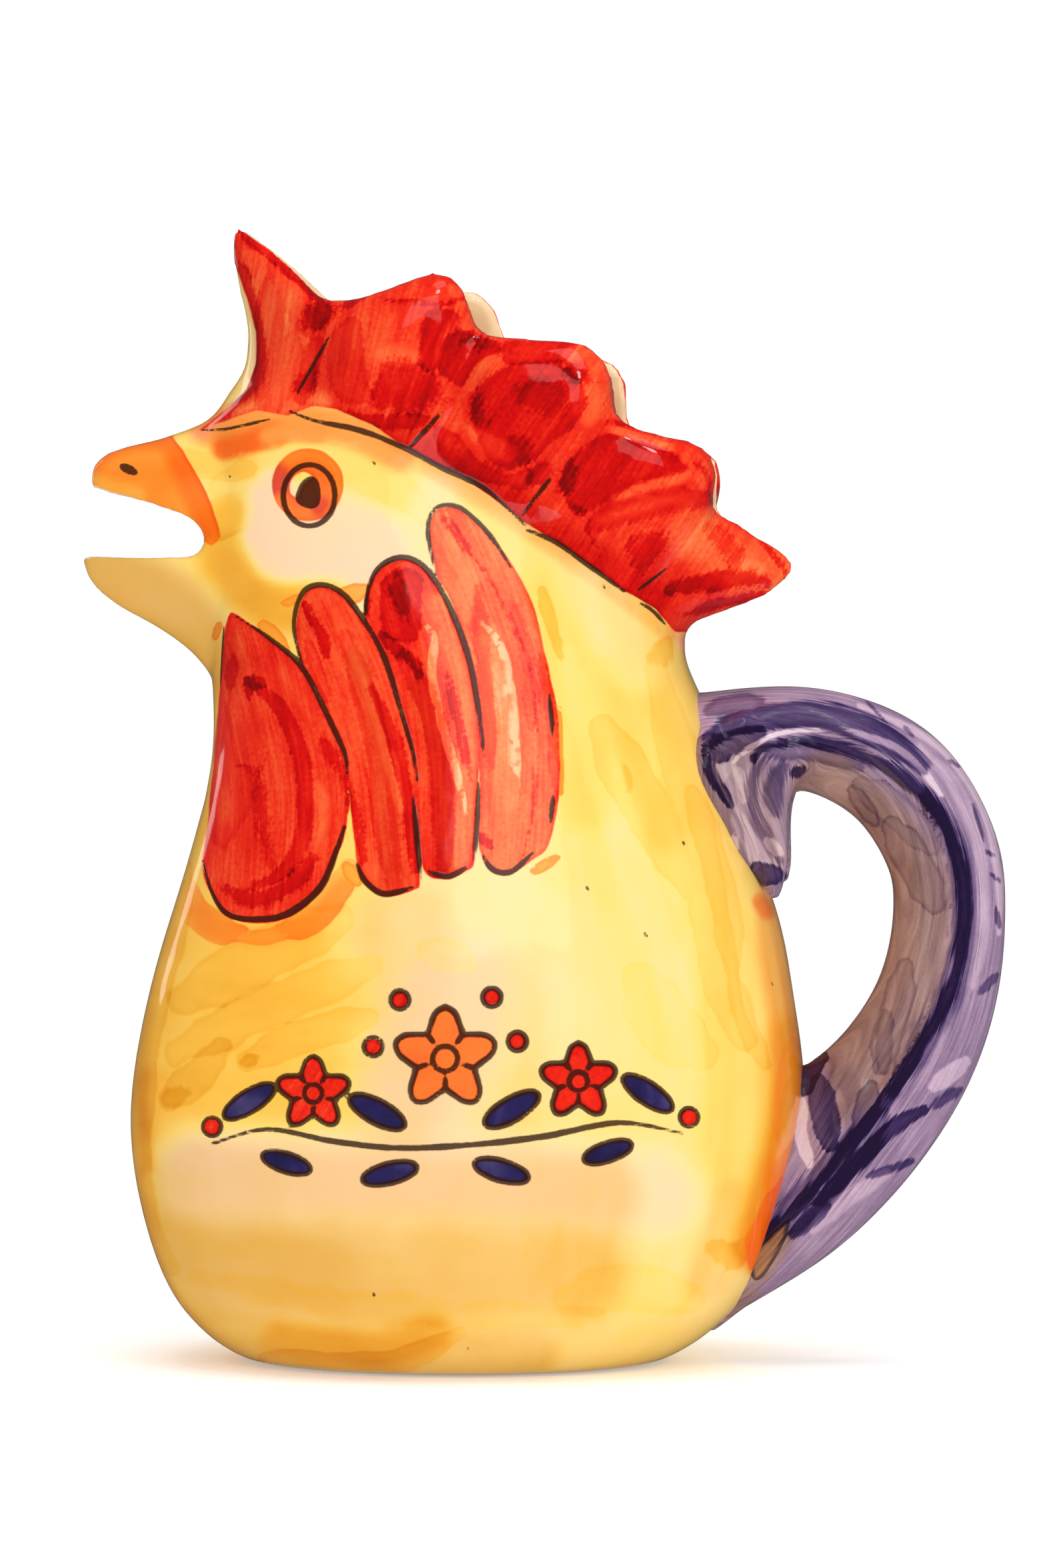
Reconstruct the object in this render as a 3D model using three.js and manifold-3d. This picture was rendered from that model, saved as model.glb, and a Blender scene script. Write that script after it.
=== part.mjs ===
// A glazed earthenware jug in the shape of a cockerel: pear-shaped belly, open beak as the spout,
// a lobed comb with an open top as the filling mouth, and a thick strap handle as the tail.
// Each piece is one that a potter forms by itself and lutes to its neighbours with a film of slip.
// Millimetres, +Z up. The bird looks along -X and its left side faces -Y.
import * as THREE from 'three';
import { mergeVertices } from 'three/addons/utils/BufferGeometryUtils.js';
import Module from 'manifold-3d';

const wasm = await Module();
wasm.setup();

// Clay thicknesses and joints
const WALL = 5;
const BEAK_WALL = 3.8;
const COMB_WALL = 4.6;
const SLIP_FILM = 0.3;
const LAP_HEIGHT = 4;
const SHOULDER_JOINT_HEIGHT = 122;

// Foot
const FOOT_RING_WIDTH = 10;
const FOOT_RECESS = 2;
const FLOOR_THICKNESS = 6;

// Rings of the vessel from the foot up. Each spans from a front point to a back point, both [x, z],
// is depth wide from side to side, and lifts its sides by crown above the line between the points.
const FOOT = { front: [-46, 0], back: [43.5, 0], depth: 74, crown: 0 };
const HEEL = { front: [-56, 6], back: [54.2, 6], depth: 91, crown: 0 };
const LOW_BELLY = { front: [-66, 20], back: [66.2, 20], depth: 107, crown: 0 };
const BELLY = { front: [-72.6, 50], back: [75.4, 53], depth: 117, crown: 0 };
const WAIST = { front: [-67.9, 81], back: [73, 79], depth: 113, crown: 0 };
const SHOULDER = { front: [-60, 107], back: [69.4, 98], depth: 104, crown: 0 };
const NECK = { front: [-54.2, 130], back: [62, 117], depth: 93, crown: 1 };
const JAW = { front: [-54.2, 150], back: [55.2, 139], depth: 82, crown: 3 };
const CHEEK = { front: [-56, 178], back: [49.6, 151.5], depth: 71, crown: 7 };
const BROW = { front: [-54.2, 205.2], back: [48.3, 159], depth: 57, crown: 12 };
const VESSEL_RINGS = [FOOT, HEEL, LOW_BELLY, BELLY, WAIST, SHOULDER, NECK, JAW, CHEEK, BROW];

// How square the rings are: 2 is an ellipse, more is blunter. The head is blunter than the foot.
const FOOT_BLUNTNESS = 2;
const HEAD_BLUNTNESS = 2.4;

// Comb: the front spike and the rear tooth are measured from the ends of the brow ring, and the notches
// between the lobes from the brow ring itself, at a share of its length and leaning back in degrees.
// Each lobe rises by its height from the line between its notches, most at its peak's share of that line.
const SPIKE_FRONT = [[2.2, 4.6], [8.2, 14.8], [3.5, 36]];
const SPIKE_TIP = [4.9, 42.6];
const SPIKE_FULLNESS = 1.2;
const TOOTH_BACK = [[8, 2.8], [21.5, 8]];
const TOOTH_TIP = [25, 14.9];
const NOTCHES = [
  { share: 0.206, height: 26.8, leftLean: 9, rightLean: 9 },
  { share: 0.47, height: 29.4, leftLean: 17, rightLean: 23 },
  { share: 0.706, height: 26.2, leftLean: 23, rightLean: 22 },
  { share: 0.93, height: 24.4, leftLean: 30, rightLean: 29 },
];
const LOBES = [
  { height: 10.6, peak: 0.73 },
  { height: 10, peak: 0.67 },
  { height: 8.4, peak: 0.68 },
];
const LOBE_ROUNDNESS = 0.9;
const COMB_MOUTH_WIDTH = 44;
const COMB_EDGE = 2.7;
const COMB_LIP_ROUNDING = 1.15;

// How the comb swells between the notches and fades to its ends: the swell stands out by LOBE_SWELL, fills
// its lobe more as LOBE_SWELL_FILL falls, and is spent to LOBE_SWELL_SPENT of a half wave at the rim.
const LOBE_SWELL = 5.5;
const LOBE_SWELL_FILL = 0.8;
const LOBE_SWELL_SPENT = 0.88;
const COMB_MOUTH_TAPER = 1.2;
const COMB_END_FADE = 4;

// Beak: distances forward of the muzzle, which is the front of the cheek ring, and heights.
const MOUTH_CORNER = [-3.2, 178];
const BEAK_ROOT = -10;
const UPPER_TIP = 25.2;
const UPPER_BEAK_TOP = [
  [BEAK_ROOT, 194], [-4, 203], [-1, 205], [3, 204], [11, 201.2], [21.5, 198.4], [UPPER_TIP, 195],
];
const UPPER_BEAK_RIM = [MOUTH_CORNER, [-2, 180], [2.5, 183.3], [10, 186.4], [20, 189], [UPPER_TIP, 190.4]];
const UPPER_BEAK_WIDTH = [
  [BEAK_ROOT, 36], [-4, 37], [2, 33], [10, 26], [18, 17], [23.4, 10], [UPPER_TIP, 5],
];
const LOWER_TIP = 27;
const LOWER_BEAK_BOTTOM = [
  [BEAK_ROOT, 145], [-1, 149.4], [2, 153.4], [10, 159.4], [20, 164.8], [26, 170.4], [LOWER_TIP, 174],
];
const LOWER_BEAK_RIM = [MOUTH_CORNER, [-1.6, 176], [3, 175], [14, 174.9], [LOWER_TIP, 175.8]];
const LOWER_BEAK_WIDTH = [
  [BEAK_ROOT, 35], [-4, 36], [2, 32], [10, 25], [18, 17], [24.4, 9.5], [LOWER_TIP, 4],
];
const TIP_HOLLOW_HEIGHT = 0.3;
const TIP_HOLLOW_HALF_WIDTH = 0.4;

// Handle: the strap's middle line, with its thickness away from the body and its width across. Its root and
// its loop are measured from the back of the jaw ring, its landing from the back of the low belly ring.
const STRAP_ROOT = [-10, -6.5];
const STRAP_LOOP = [
  [5, -4], [23, -4], [39.6, -11.9], [49.5, -27.3], [51.2, -42.4],
  [48.4, -59.4], [41, -74.8], [29, -89.4], [15, -104.4],
];
const STRAP_LANDING = [-11, -0.5];
const STRAP_THICKNESS = [22, 22.6, 22.8, 25, 24.8, 24.6, 26.4, 29.6, 33, 31, 21];
const STRAP_WIDTH = [29, 27, 23, 22, 22, 22, 22, 23, 25, 27, 26];
const STRAP_SKEW = 0.16;

// Root of the handle: a tongue of clay pressed down the wall below the strap, from the back of the jaw ring.
const ROOT_TOP_DROP = 10;
const ROOT_LENGTH = 28;
const ROOT_REACH = 17;
const ROOT_SINK = 6;
const ROOT_TIP_REACH = 1;
const ROOT_WIDTH = 25;
const ROOT_TIP_WIDTH = 9;
const ROOT_TIP_BLUNTNESS = 4;

// Facets
const RING_POINTS = 48;
const RING_STEP = 9;
const COMB_SEGMENT_COLUMNS = [9, 9, 9, 8, 7];
const COMB_ROWS = 7;
const BEAK_SECTIONS = 12;
const BEAK_ARC_POINTS = 13;
const STRAP_SECTIONS = 40;
const STRAP_POINTS = 16;
const ROOT_SECTIONS = 9;
const CURVE_POINTS = 120;
const SEARCH_STEPS = 40;
const WELD_DISTANCE = 1e-4;

// Curves
const vector2 = ([x, z]) => new THREE.Vector2(x, z);
const frontLine = new THREE.SplineCurve(VESSEL_RINGS.map((ring) => vector2(ring.front)));
const backLine = new THREE.SplineCurve(VESSEL_RINGS.map((ring) => vector2(ring.back)));
const sideLine = new THREE.SplineCurve(VESSEL_RINGS.map((ring) => vector2([ring.depth, ring.crown])));
const mix = THREE.MathUtils.lerp;

// The place on a rising curve, from 0 to 1, where it reaches a height.
function placeAt(curve, height) {
  let low = 0;
  let high = 1;
  for (let step = 0; step < SEARCH_STEPS; step++) {
    const middle = (low + high) / 2;
    if (curve.getPoint(middle).y < height) low = middle;
    else high = middle;
  }
  return (low + high) / 2;
}

// Levels run from 0 at the foot to 1 at the brow, and are set by heights on the vessel's front.
const levelAt = (height) => placeAt(frontLine, height);

// One point of the vessel: angle runs from the front round the left side, and inset moves the point into
// the clay.
function vesselPoint(level, angle, inset) {
  const front = frontLine.getPoint(level);
  const back = backLine.getPoint(level);
  const side = sideLine.getPoint(level);
  const middle = front.clone().add(back).multiplyScalar(0.5);
  const forward = front.clone().sub(back).normalize();
  const power = 2 / mix(FOOT_BLUNTNESS, HEAD_BLUNTNESS, level);
  const cosine = Math.cos(angle);
  const sine = Math.sin(angle);
  const reach = (front.distanceTo(back) / 2 - inset) * Math.sign(cosine) * Math.abs(cosine) ** power;
  const across = (side.x / 2 - inset) * Math.sign(sine) * Math.abs(sine) ** power;
  const lift = side.y * sine * sine;
  return new THREE.Vector3(
    middle.x + forward.x * reach + forward.y * lift,
    -across,
    middle.y + forward.y * reach - forward.x * lift,
  );
}

function vesselRing(level, inset) {
  const turn = (2 * Math.PI) / RING_POINTS;
  return Array.from({ length: RING_POINTS }, (_, i) => vesselPoint(level, turn * i, inset));
}

// Rings between two levels, about RING_STEP apart.
function vesselRings(from, to, inset) {
  const rise = frontLine.getPoint(to).distanceTo(frontLine.getPoint(from));
  const steps = Math.max(1, Math.round(rise / RING_STEP));
  return Array.from({ length: steps + 1 }, (_, i) => vesselRing(mix(from, to, i / steps), inset));
}

// Solids
function capTriangles(loop) {
  const normal = new THREE.Vector3();
  loop.forEach((point, i) => {
    const next = loop[(i + 1) % loop.length];
    normal.add(new THREE.Vector3().crossVectors(point, next));
  });
  const turn = new THREE.Quaternion().setFromUnitVectors(normal.normalize(), new THREE.Vector3(0, 0, 1));
  const flat = loop.map((point) => point.clone().applyQuaternion(turn));
  return THREE.ShapeUtils.triangulateShape(flat.map((point) => new THREE.Vector2(point.x, point.y)), []);
}

function signedVolume(geometry) {
  const position = geometry.getAttribute('position');
  const corner = (i) => new THREE.Vector3().fromBufferAttribute(position, geometry.index.getX(i));
  let volume = 0;
  for (let i = 0; i < geometry.index.count; i += 3) {
    volume += corner(i).dot(corner(i + 1).cross(corner(i + 2))) / 6;
  }
  return volume;
}

// A skin stretched over loops of points, one after another. A joined skin closes from the last loop to
// the first, like the wall of a vessel, and any other is capped at both ends.
function loft(loops, joined = false) {
  const count = loops[0].length;
  const faces = [];
  const spans = joined ? loops.length : loops.length - 1;
  for (let row = 0; row < spans; row++) {
    const here = row * count;
    const next = ((row + 1) % loops.length) * count;
    for (let column = 0; column < count; column++) {
      const beside = (column + 1) % count;
      faces.push(here + column, here + beside, next + beside);
      faces.push(here + column, next + beside, next + column);
    }
  }
  if (!joined) {
    const last = (loops.length - 1) * count;
    capTriangles(loops[0]).forEach(([a, b, c]) => faces.push(a, c, b));
    capTriangles(loops[loops.length - 1]).forEach(([a, b, c]) => faces.push(last + a, last + b, last + c));
  }
  const skin = new THREE.BufferGeometry().setFromPoints(loops.flat());
  skin.setIndex(faces);
  const merged = mergeVertices(skin, WELD_DISTANCE);
  if (signedVolume(merged) < 0) merged.index.array.reverse();
  return merged;
}

function toSolid(geometry) {
  const vertProperties = Float32Array.from(geometry.getAttribute('position').array);
  const triVerts = Uint32Array.from(geometry.index.array);
  return new wasm.Manifold(new wasm.Mesh({ numProp: 3, vertProperties, triVerts }));
}

function cut(geometry, ...tools) {
  let solid = toSolid(geometry);
  for (const tool of tools) solid = solid.subtract(toSolid(tool));
  const { vertProperties, triVerts } = solid.getMesh();
  const result = new THREE.BufferGeometry();
  result.setAttribute('position', new THREE.BufferAttribute(vertProperties, 3));
  result.setIndex(new THREE.BufferAttribute(triVerts, 1));
  return result;
}

// The whole vessel as one block, grown by the slip film, which trims what is luted to its outside.
const vesselBlock = loft(vesselRings(0, 1, -SLIP_FILM));

// Belly wall: a foot ring with a ledge inside it for the floor, and half the wall standing up as a lap.
const jointLevel = levelAt(SHOULDER_JOINT_HEIGHT);
const lapLevel = levelAt(SHOULDER_JOINT_HEIGHT + LAP_HEIGHT);
const ledgeLevel = levelAt(FOOT_RECESS);

function bellyWall() {
  const ledge = vesselRing(0, FOOT_RING_WIDTH).map((point) => point.setZ(FOOT_RECESS));
  return loft([
    ...vesselRings(0, jointLevel, 0),
    vesselRing(jointLevel, WALL / 2),
    vesselRing(lapLevel, WALL / 2),
    ...vesselRings(ledgeLevel, lapLevel, WALL).reverse(),
    ledge,
    vesselRing(0, FOOT_RING_WIDTH),
  ], true);
}

// Floor: a slab that drops on to the ledge and fills the foot up to the wall.
function floorDisc() {
  const underside = levelAt(FOOT_RECESS + SLIP_FILM);
  const top = levelAt(FOOT_RECESS + SLIP_FILM + FLOOR_THICKNESS);
  return loft(vesselRings(underside, top, WALL + SLIP_FILM));
}

// Head wall: laps over the belly at the shoulder, with the mouth cut through its front.
function headWall() {
  const skirt = levelAt(SHOULDER_JOINT_HEIGHT + SLIP_FILM);
  const seat = levelAt(SHOULDER_JOINT_HEIGHT + LAP_HEIGHT + SLIP_FILM);
  const lapInset = WALL / 2 - SLIP_FILM;
  const wall = loft([
    ...vesselRings(skirt, 1, 0),
    ...vesselRings(seat, 1, WALL).reverse(),
    vesselRing(seat, lapInset),
    vesselRing(skirt, lapInset),
  ], true);
  return cut(wall, mouthPassage());
}

// Comb: the rim in side view runs from the spike over three lobes to the rear tooth.
const browPoint = (angle) => vesselPoint(1, angle, 0);
const browAngle = (share) => Math.acos(1 - 2 * share);
const browFront = browPoint(0);
const browBack = browPoint(Math.PI);

function fromBrow(point, [along, up]) {
  return new THREE.Vector2(point.x + along, point.z + up);
}

// The corners of a wall's rim: the spike, the notches and the rear tooth.
// side is -1 for the bird's left wall and 1 for its right wall.
function rimCorners(side) {
  const notches = NOTCHES.map(({ share, height, leftLean, rightLean }) => {
    const base = browPoint(browAngle(share));
    const lean = THREE.MathUtils.degToRad(side < 0 ? leftLean : rightLean);
    return fromBrow(base, [height * Math.sin(lean), height * Math.cos(lean)]);
  });
  return [fromBrow(browFront, SPIKE_TIP), ...notches, fromBrow(browBack, TOOTH_TIP)];
}

const cornerAngles = [0, ...NOTCHES.map(({ share }) => browAngle(share)), Math.PI];
const rimSpans = [{ height: SPIKE_FULLNESS, peak: 0.5 }, ...LOBES, { height: 0, peak: 0.5 }];
const spikeEdge = new THREE.SplineCurve(
  [[0, 0], ...SPIKE_FRONT, SPIKE_TIP].map((offset) => fromBrow(browFront, offset)),
);
const toothEdge = new THREE.SplineCurve(
  [[0, 0], ...TOOTH_BACK, TOOTH_TIP].map((offset) => fromBrow(browBack, offset)),
);

// The rim at a share of the way from one corner to the next.
function rimPoint(corners, segment, share) {
  const from = corners[segment];
  const to = corners[segment + 1];
  const along = to.clone().sub(from).normalize();
  const { height, peak } = rimSpans[segment];
  const skewed = share ** (Math.log(0.5) / Math.log(peak));
  const rise = height * Math.max(0, Math.sin(Math.PI * skewed)) ** LOBE_ROUNDNESS;
  return from.clone().lerp(to, share).add(new THREE.Vector2(-along.y * rise, along.x * rise));
}

// How far a curve strays from the straight line between its ends.
function stray(curve, share) {
  return curve.getPoint(share).sub(curve.getPoint(0).lerp(curve.getPoint(1), share));
}

// One upright section of a comb wall: up the outside, over the rim and down the inside.
function combSection(corners, segment, share, side) {
  const angle = mix(cornerAngles[segment], cornerAngles[segment + 1], share);
  const base = browPoint(angle);
  const inset = vesselPoint(1, angle, COMB_WALL).sub(base);
  const rim = rimPoint(corners, segment, share);
  const length = (1 - Math.cos(angle)) / 2;
  const atSeam = angle === 0 || angle === Math.PI;
  const mouth = (COMB_MOUTH_WIDTH / 2) * Math.sin(angle) ** COMB_MOUTH_TAPER;
  const isLobe = LOBES.includes(rimSpans[segment]);
  const swell = isLobe ? LOBE_SWELL * Math.sin(Math.PI * share) ** LOBE_SWELL_FILL : 0;
  const outside = [];
  const inside = [];
  for (let row = 0; row <= COMB_ROWS; row++) {
    const up = row / COMB_ROWS;
    const place = new THREE.Vector2(base.x, base.z + SLIP_FILM).lerp(rim, up);
    place.addScaledVector(stray(spikeEdge, up), (1 - length) ** COMB_END_FADE);
    place.addScaledVector(stray(toothEdge, up), length ** COMB_END_FADE);
    const bulge = swell * Math.sin(Math.PI * LOBE_SWELL_SPENT * up);
    const half = Math.hypot(mix(Math.abs(base.y), mouth, up), COMB_EDGE) + bulge;
    const lip = row === COMB_ROWS ? COMB_LIP_ROUNDING : 0;
    const seam = SLIP_FILM / 2;
    const outer = atSeam ? seam : half - Math.min(lip, half / 4);
    const inner = atSeam ? seam : Math.max(seam, half - COMB_WALL + lip);
    outside.push(new THREE.Vector3(place.x, side * outer, place.y));
    place.addScaledVector(new THREE.Vector2(inset.x, inset.z), 1 - up);
    inside.unshift(new THREE.Vector3(place.x, side * inner, place.y));
  }
  return [...outside, ...inside];
}

function combWall(side) {
  const corners = rimCorners(side);
  const sections = [];
  COMB_SEGMENT_COLUMNS.forEach((columns, segment) => {
    for (let column = segment === 0 ? 0 : 1; column <= columns; column++) {
      sections.push(combSection(corners, segment, column / columns, side));
    }
  });
  return loft(sections);
}

// Beak: sections across the beak, forward of the muzzle, read off its side and plan lines.
const muzzle = CHEEK.front[0];

// A smooth line through points that are given as [distance forward, value].
function lineThrough(points) {
  const fine = new THREE.SplineCurve(points.map(vector2)).getPoints(CURVE_POINTS);
  return (forward) => {
    const i = fine.findIndex((point) => point.x >= forward);
    if (i < 0) return fine[fine.length - 1].y;
    if (i === 0) return fine[0].y;
    const share = (forward - fine[i - 1].x) / (fine[i].x - fine[i - 1].x);
    return mix(fine[i - 1].y, fine[i].y, share);
  };
}

const upperTop = lineThrough(UPPER_BEAK_TOP);
const upperRim = lineThrough(UPPER_BEAK_RIM);
const upperWidth = lineThrough(UPPER_BEAK_WIDTH);
const lowerBottom = lineThrough(LOWER_BEAK_BOTTOM);
const lowerRim = lineThrough(LOWER_BEAK_RIM);
const lowerWidth = lineThrough(LOWER_BEAK_WIDTH);

// Half an ellipse across the beak, from its left rim to its right rim, bulging by rise from the rim.
function beakArc(forward, halfWidth, rimHeight, rise) {
  return Array.from({ length: BEAK_ARC_POINTS }, (_, i) => {
    const turn = (Math.PI * i) / (BEAK_ARC_POINTS - 1);
    const across = -halfWidth * Math.cos(turn);
    return new THREE.Vector3(muzzle - forward, across, rimHeight + rise * Math.sin(turn));
  });
}

// Half of the beak: a hood when edge lies above the rim and a trough when it lies below.
function beakHalf(edge, rim, width, tip) {
  const corner = MOUTH_CORNER[0];
  const gape = Array.from({ length: BEAK_SECTIONS + 1 }, (_, i) => {
    const share = i / BEAK_SECTIONS;
    return mix(corner, tip, share * share * (3 - 2 * share));
  });
  const sections = [BEAK_ROOT, (BEAK_ROOT + corner) / 2, ...gape].map((forward) => {
    const way = Math.sign(edge(forward) - rim(forward));
    const gap = forward <= corner ? SLIP_FILM / 2 : 0;
    const rimHeight = rim(forward) + way * gap;
    const rise = Math.abs(edge(forward) - rimHeight);
    const halfWidth = width(forward) / 2;
    const innerRise = Math.max(rise - BEAK_WALL, TIP_HOLLOW_HEIGHT);
    const innerHalf = Math.max(halfWidth - BEAK_WALL, TIP_HOLLOW_HALF_WIDTH);
    return [
      ...beakArc(forward, halfWidth, rimHeight, way * rise),
      ...beakArc(forward, innerHalf, rimHeight, way * innerRise).reverse(),
    ];
  });
  return loft(sections);
}

function upperBeak() {
  return cut(beakHalf(upperTop, upperRim, upperWidth, UPPER_TIP), vesselBlock);
}

function lowerBeak() {
  return cut(beakHalf(lowerBottom, lowerRim, lowerWidth, LOWER_TIP), vesselBlock);
}

// The way through the head's wall into the beak, as wide as the beak is inside.
function mouthPassage() {
  const [corner, height] = MOUTH_CORNER;
  const ends = [BEAK_ROOT - WALL, -corner];
  return loft(ends.map((forward) => {
    const up = upperTop(forward) - BEAK_WALL - height;
    const down = lowerBottom(forward) + BEAK_WALL - height;
    const upperArc = beakArc(forward, upperWidth(forward) / 2 - BEAK_WALL, height, up);
    const lowerArc = beakArc(forward, lowerWidth(forward) / 2 - BEAK_WALL, height, down);
    return [...upperArc, ...lowerArc.reverse().slice(1, -1)];
  }));
}

// Handle: a rounded strap, thicker at its lower end, swept along a line in the jug's middle plane.
const strapStart = vector2(JAW.back);
const strapEnd = vector2(LOW_BELLY.back);
const strapLine = new THREE.SplineCurve([
  strapStart.clone().add(vector2(STRAP_ROOT)),
  ...STRAP_LOOP.map((offset) => strapStart.clone().add(vector2(offset))),
  strapEnd.clone().add(vector2(STRAP_LANDING)),
]);
const strapSize = new THREE.SplineCurve(
  STRAP_THICKNESS.map((thickness, i) => new THREE.Vector2(thickness, STRAP_WIDTH[i])),
);

// A rounded section square to a line in the XZ plane, fuller towards the outside by skew.
function roundedSection(middle, outward, halfThickness, halfWidth, skew, points) {
  return Array.from({ length: points }, (_, i) => {
    const turn = (2 * Math.PI * i) / points;
    const out = halfThickness * (skew * Math.sin(turn) ** 2 - Math.cos(turn));
    const across = halfWidth * Math.sin(turn);
    return new THREE.Vector3(middle.x + outward.x * out, across, middle.y + outward.y * out);
  });
}

function strapSolid(grow) {
  return loft(Array.from({ length: STRAP_SECTIONS + 1 }, (_, i) => {
    const share = i / STRAP_SECTIONS;
    const along = strapLine.getTangent(share);
    const size = strapSize.getPoint(share);
    const outward = new THREE.Vector2(-along.y, along.x);
    return roundedSection(
      strapLine.getPoint(share), outward, size.x / 2 + grow, size.y / 2 + grow, STRAP_SKEW, STRAP_POINTS,
    );
  }));
}

function handleStrap() {
  return cut(strapSolid(0), vesselBlock);
}

// Root of the handle: the tongue follows the back of the vessel downwards and thins to a rounded tip.
function handleRoot() {
  const topHeight = JAW.back[1] - ROOT_TOP_DROP;
  const sections = Array.from({ length: ROOT_SECTIONS + 1 }, (_, i) => {
    const share = i / ROOT_SECTIONS;
    const height = topHeight - ROOT_LENGTH * share;
    const thin = Math.sqrt(1 - share ** ROOT_TIP_BLUNTNESS);
    const halfWidth = mix(ROOT_TIP_WIDTH, ROOT_WIDTH, thin) / 2;
    const wall = backLine.getPoint(placeAt(backLine, height)).x;
    const inner = wall - ROOT_SINK;
    const outer = mix(wall + ROOT_TIP_REACH, JAW.back[0] + ROOT_REACH, thin);
    const middle = new THREE.Vector2((inner + outer) / 2, height);
    return roundedSection(middle, new THREE.Vector2(1, 0), (outer - inner) / 2, halfWidth, 0, STRAP_POINTS);
  });
  return cut(loft(sections), vesselBlock, strapSolid(SLIP_FILM));
}

// The jug
const glaze = { roughness: 0.15, metalness: 0 };
const jug = new THREE.Group();

function addPiece(name, geometry, colour, finish = glaze) {
  const piece = new THREE.Mesh(geometry, new THREE.MeshStandardMaterial({ color: colour, ...finish }));
  piece.name = name;
  jug.add(piece);
}

addPiece('floor_disc', floorDisc(), 0xe8dcc4, { roughness: 0.6, metalness: 0 });
addPiece('belly_wall', bellyWall(), 0xf3d48a);
addPiece('head_wall', headWall(), 0xf6e0a8);
addPiece('lower_beak', lowerBeak(), 0xe9cf96);
addPiece('upper_beak', upperBeak(), 0xe79a55);
addPiece('comb_left_wall', combWall(-1), 0xcc2a1c);
addPiece('comb_right_wall', combWall(1), 0xcc2a1c);
addPiece('handle_strap', handleStrap(), 0x7d739c);
addPiece('handle_root', handleRoot(), 0x5d5488);

// The origin lies on the table under the middle of the whole jug.
const box = new THREE.Box3().setFromObject(jug);
jug.position.x = -(box.min.x + box.max.x) / 2;

export default jug;
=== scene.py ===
# %% [markdown]
# # A painted cockerel jug
# The jug is earthenware: a pear-shaped belly, a neck that is the bird's head, an open beak as the
# spout, an open comb as the filling mouth and a thick strap as the tail and handle. This lesson
# takes the plain solids, joins them into one glazed skin as the kiln does, and paints it.

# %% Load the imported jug
import math

import bpy
import numpy as np
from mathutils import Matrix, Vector


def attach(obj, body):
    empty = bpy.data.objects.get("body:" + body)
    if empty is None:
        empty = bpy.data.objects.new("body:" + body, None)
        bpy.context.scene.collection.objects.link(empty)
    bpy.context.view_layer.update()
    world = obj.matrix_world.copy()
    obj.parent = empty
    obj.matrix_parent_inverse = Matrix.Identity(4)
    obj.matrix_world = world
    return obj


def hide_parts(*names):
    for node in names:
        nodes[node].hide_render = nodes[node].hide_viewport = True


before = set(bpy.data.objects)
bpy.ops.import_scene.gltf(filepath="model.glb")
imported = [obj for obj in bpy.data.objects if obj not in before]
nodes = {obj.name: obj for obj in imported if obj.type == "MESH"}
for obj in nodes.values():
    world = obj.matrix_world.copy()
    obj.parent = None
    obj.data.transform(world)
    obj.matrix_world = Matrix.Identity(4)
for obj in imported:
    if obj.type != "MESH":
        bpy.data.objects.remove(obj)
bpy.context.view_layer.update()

# %% [markdown]
# ## The camera
# The photograph is taken from the bird's left side, a few degrees towards the tail, almost level
# and from more than a metre away. The camera comes first, because the painting further down is laid
# out in the photograph's pixels, and the same numbers turn a place on the clay into a pixel.

# %% Camera
PHOTO_SIZE = (1568, 2352)
PIXEL = 0.00014535
CAMERA_DISTANCE = 1.3
CAMERA_TURN = math.radians(5)
CAMERA_RISE = math.radians(0.5)
CAMERA_TARGET = Vector((-0.0042, 0, 0.1256))
SENSOR = 36

back = Vector((
    math.sin(CAMERA_TURN) * math.cos(CAMERA_RISE),
    -math.cos(CAMERA_TURN) * math.cos(CAMERA_RISE),
    math.sin(CAMERA_RISE),
))
right = Vector((math.cos(CAMERA_TURN), math.sin(CAMERA_TURN), 0))
up = back.cross(right)

bpy.ops.object.select_all(action="DESELECT")
bpy.ops.object.camera_add(location=CAMERA_TARGET + back * CAMERA_DISTANCE)
camera = bpy.context.active_object
camera.rotation_euler = (-back).to_track_quat("-Z", "Y").to_euler()
camera.data.sensor_width = SENSOR
camera.data.lens = SENSOR * CAMERA_DISTANCE / (PHOTO_SIZE[1] * PIXEL)
bpy.context.scene.camera = camera
print("lens in mm:", round(camera.data.lens, 1))

# %% [markdown]
# ## From solids to glazed skin
# A potter lutes the pieces together with slip and wipes the joints smooth, and the glaze then runs
# over everything, so no seam shows. By hand one could bridge the pieces edge by edge. It is quicker
# to copy the solids, round their facets with Subdivision Surface, swell them a little so that they
# overlap, and let a voxel Remesh melt them into one skin. Shrinking the skin by the same amount
# afterwards puts the surface back where it was, with softly filled corners.

# %% Helpers for handwork
MERGE_DISTANCE = 1e-6
QUAD_ANGLE = math.radians(40)
QUAD_SKEW = math.radians(60)
SHARP_ANGLE = math.radians(50)


def select_only(*objects):
    """Selects these objects alone and makes the last one active."""
    bpy.ops.object.select_all(action="DESELECT")
    for obj in objects:
        obj.select_set(True)
    bpy.context.view_layer.objects.active = objects[-1]


def apply_modifier(obj, kind, **settings):
    """Adds a modifier to an object, sets it up and applies it."""
    select_only(obj)
    modifier = obj.modifiers.new(kind.title(), kind)
    for name, value in settings.items():
        setattr(modifier, name, value)
    bpy.ops.object.modifier_apply(modifier=modifier.name)


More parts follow.
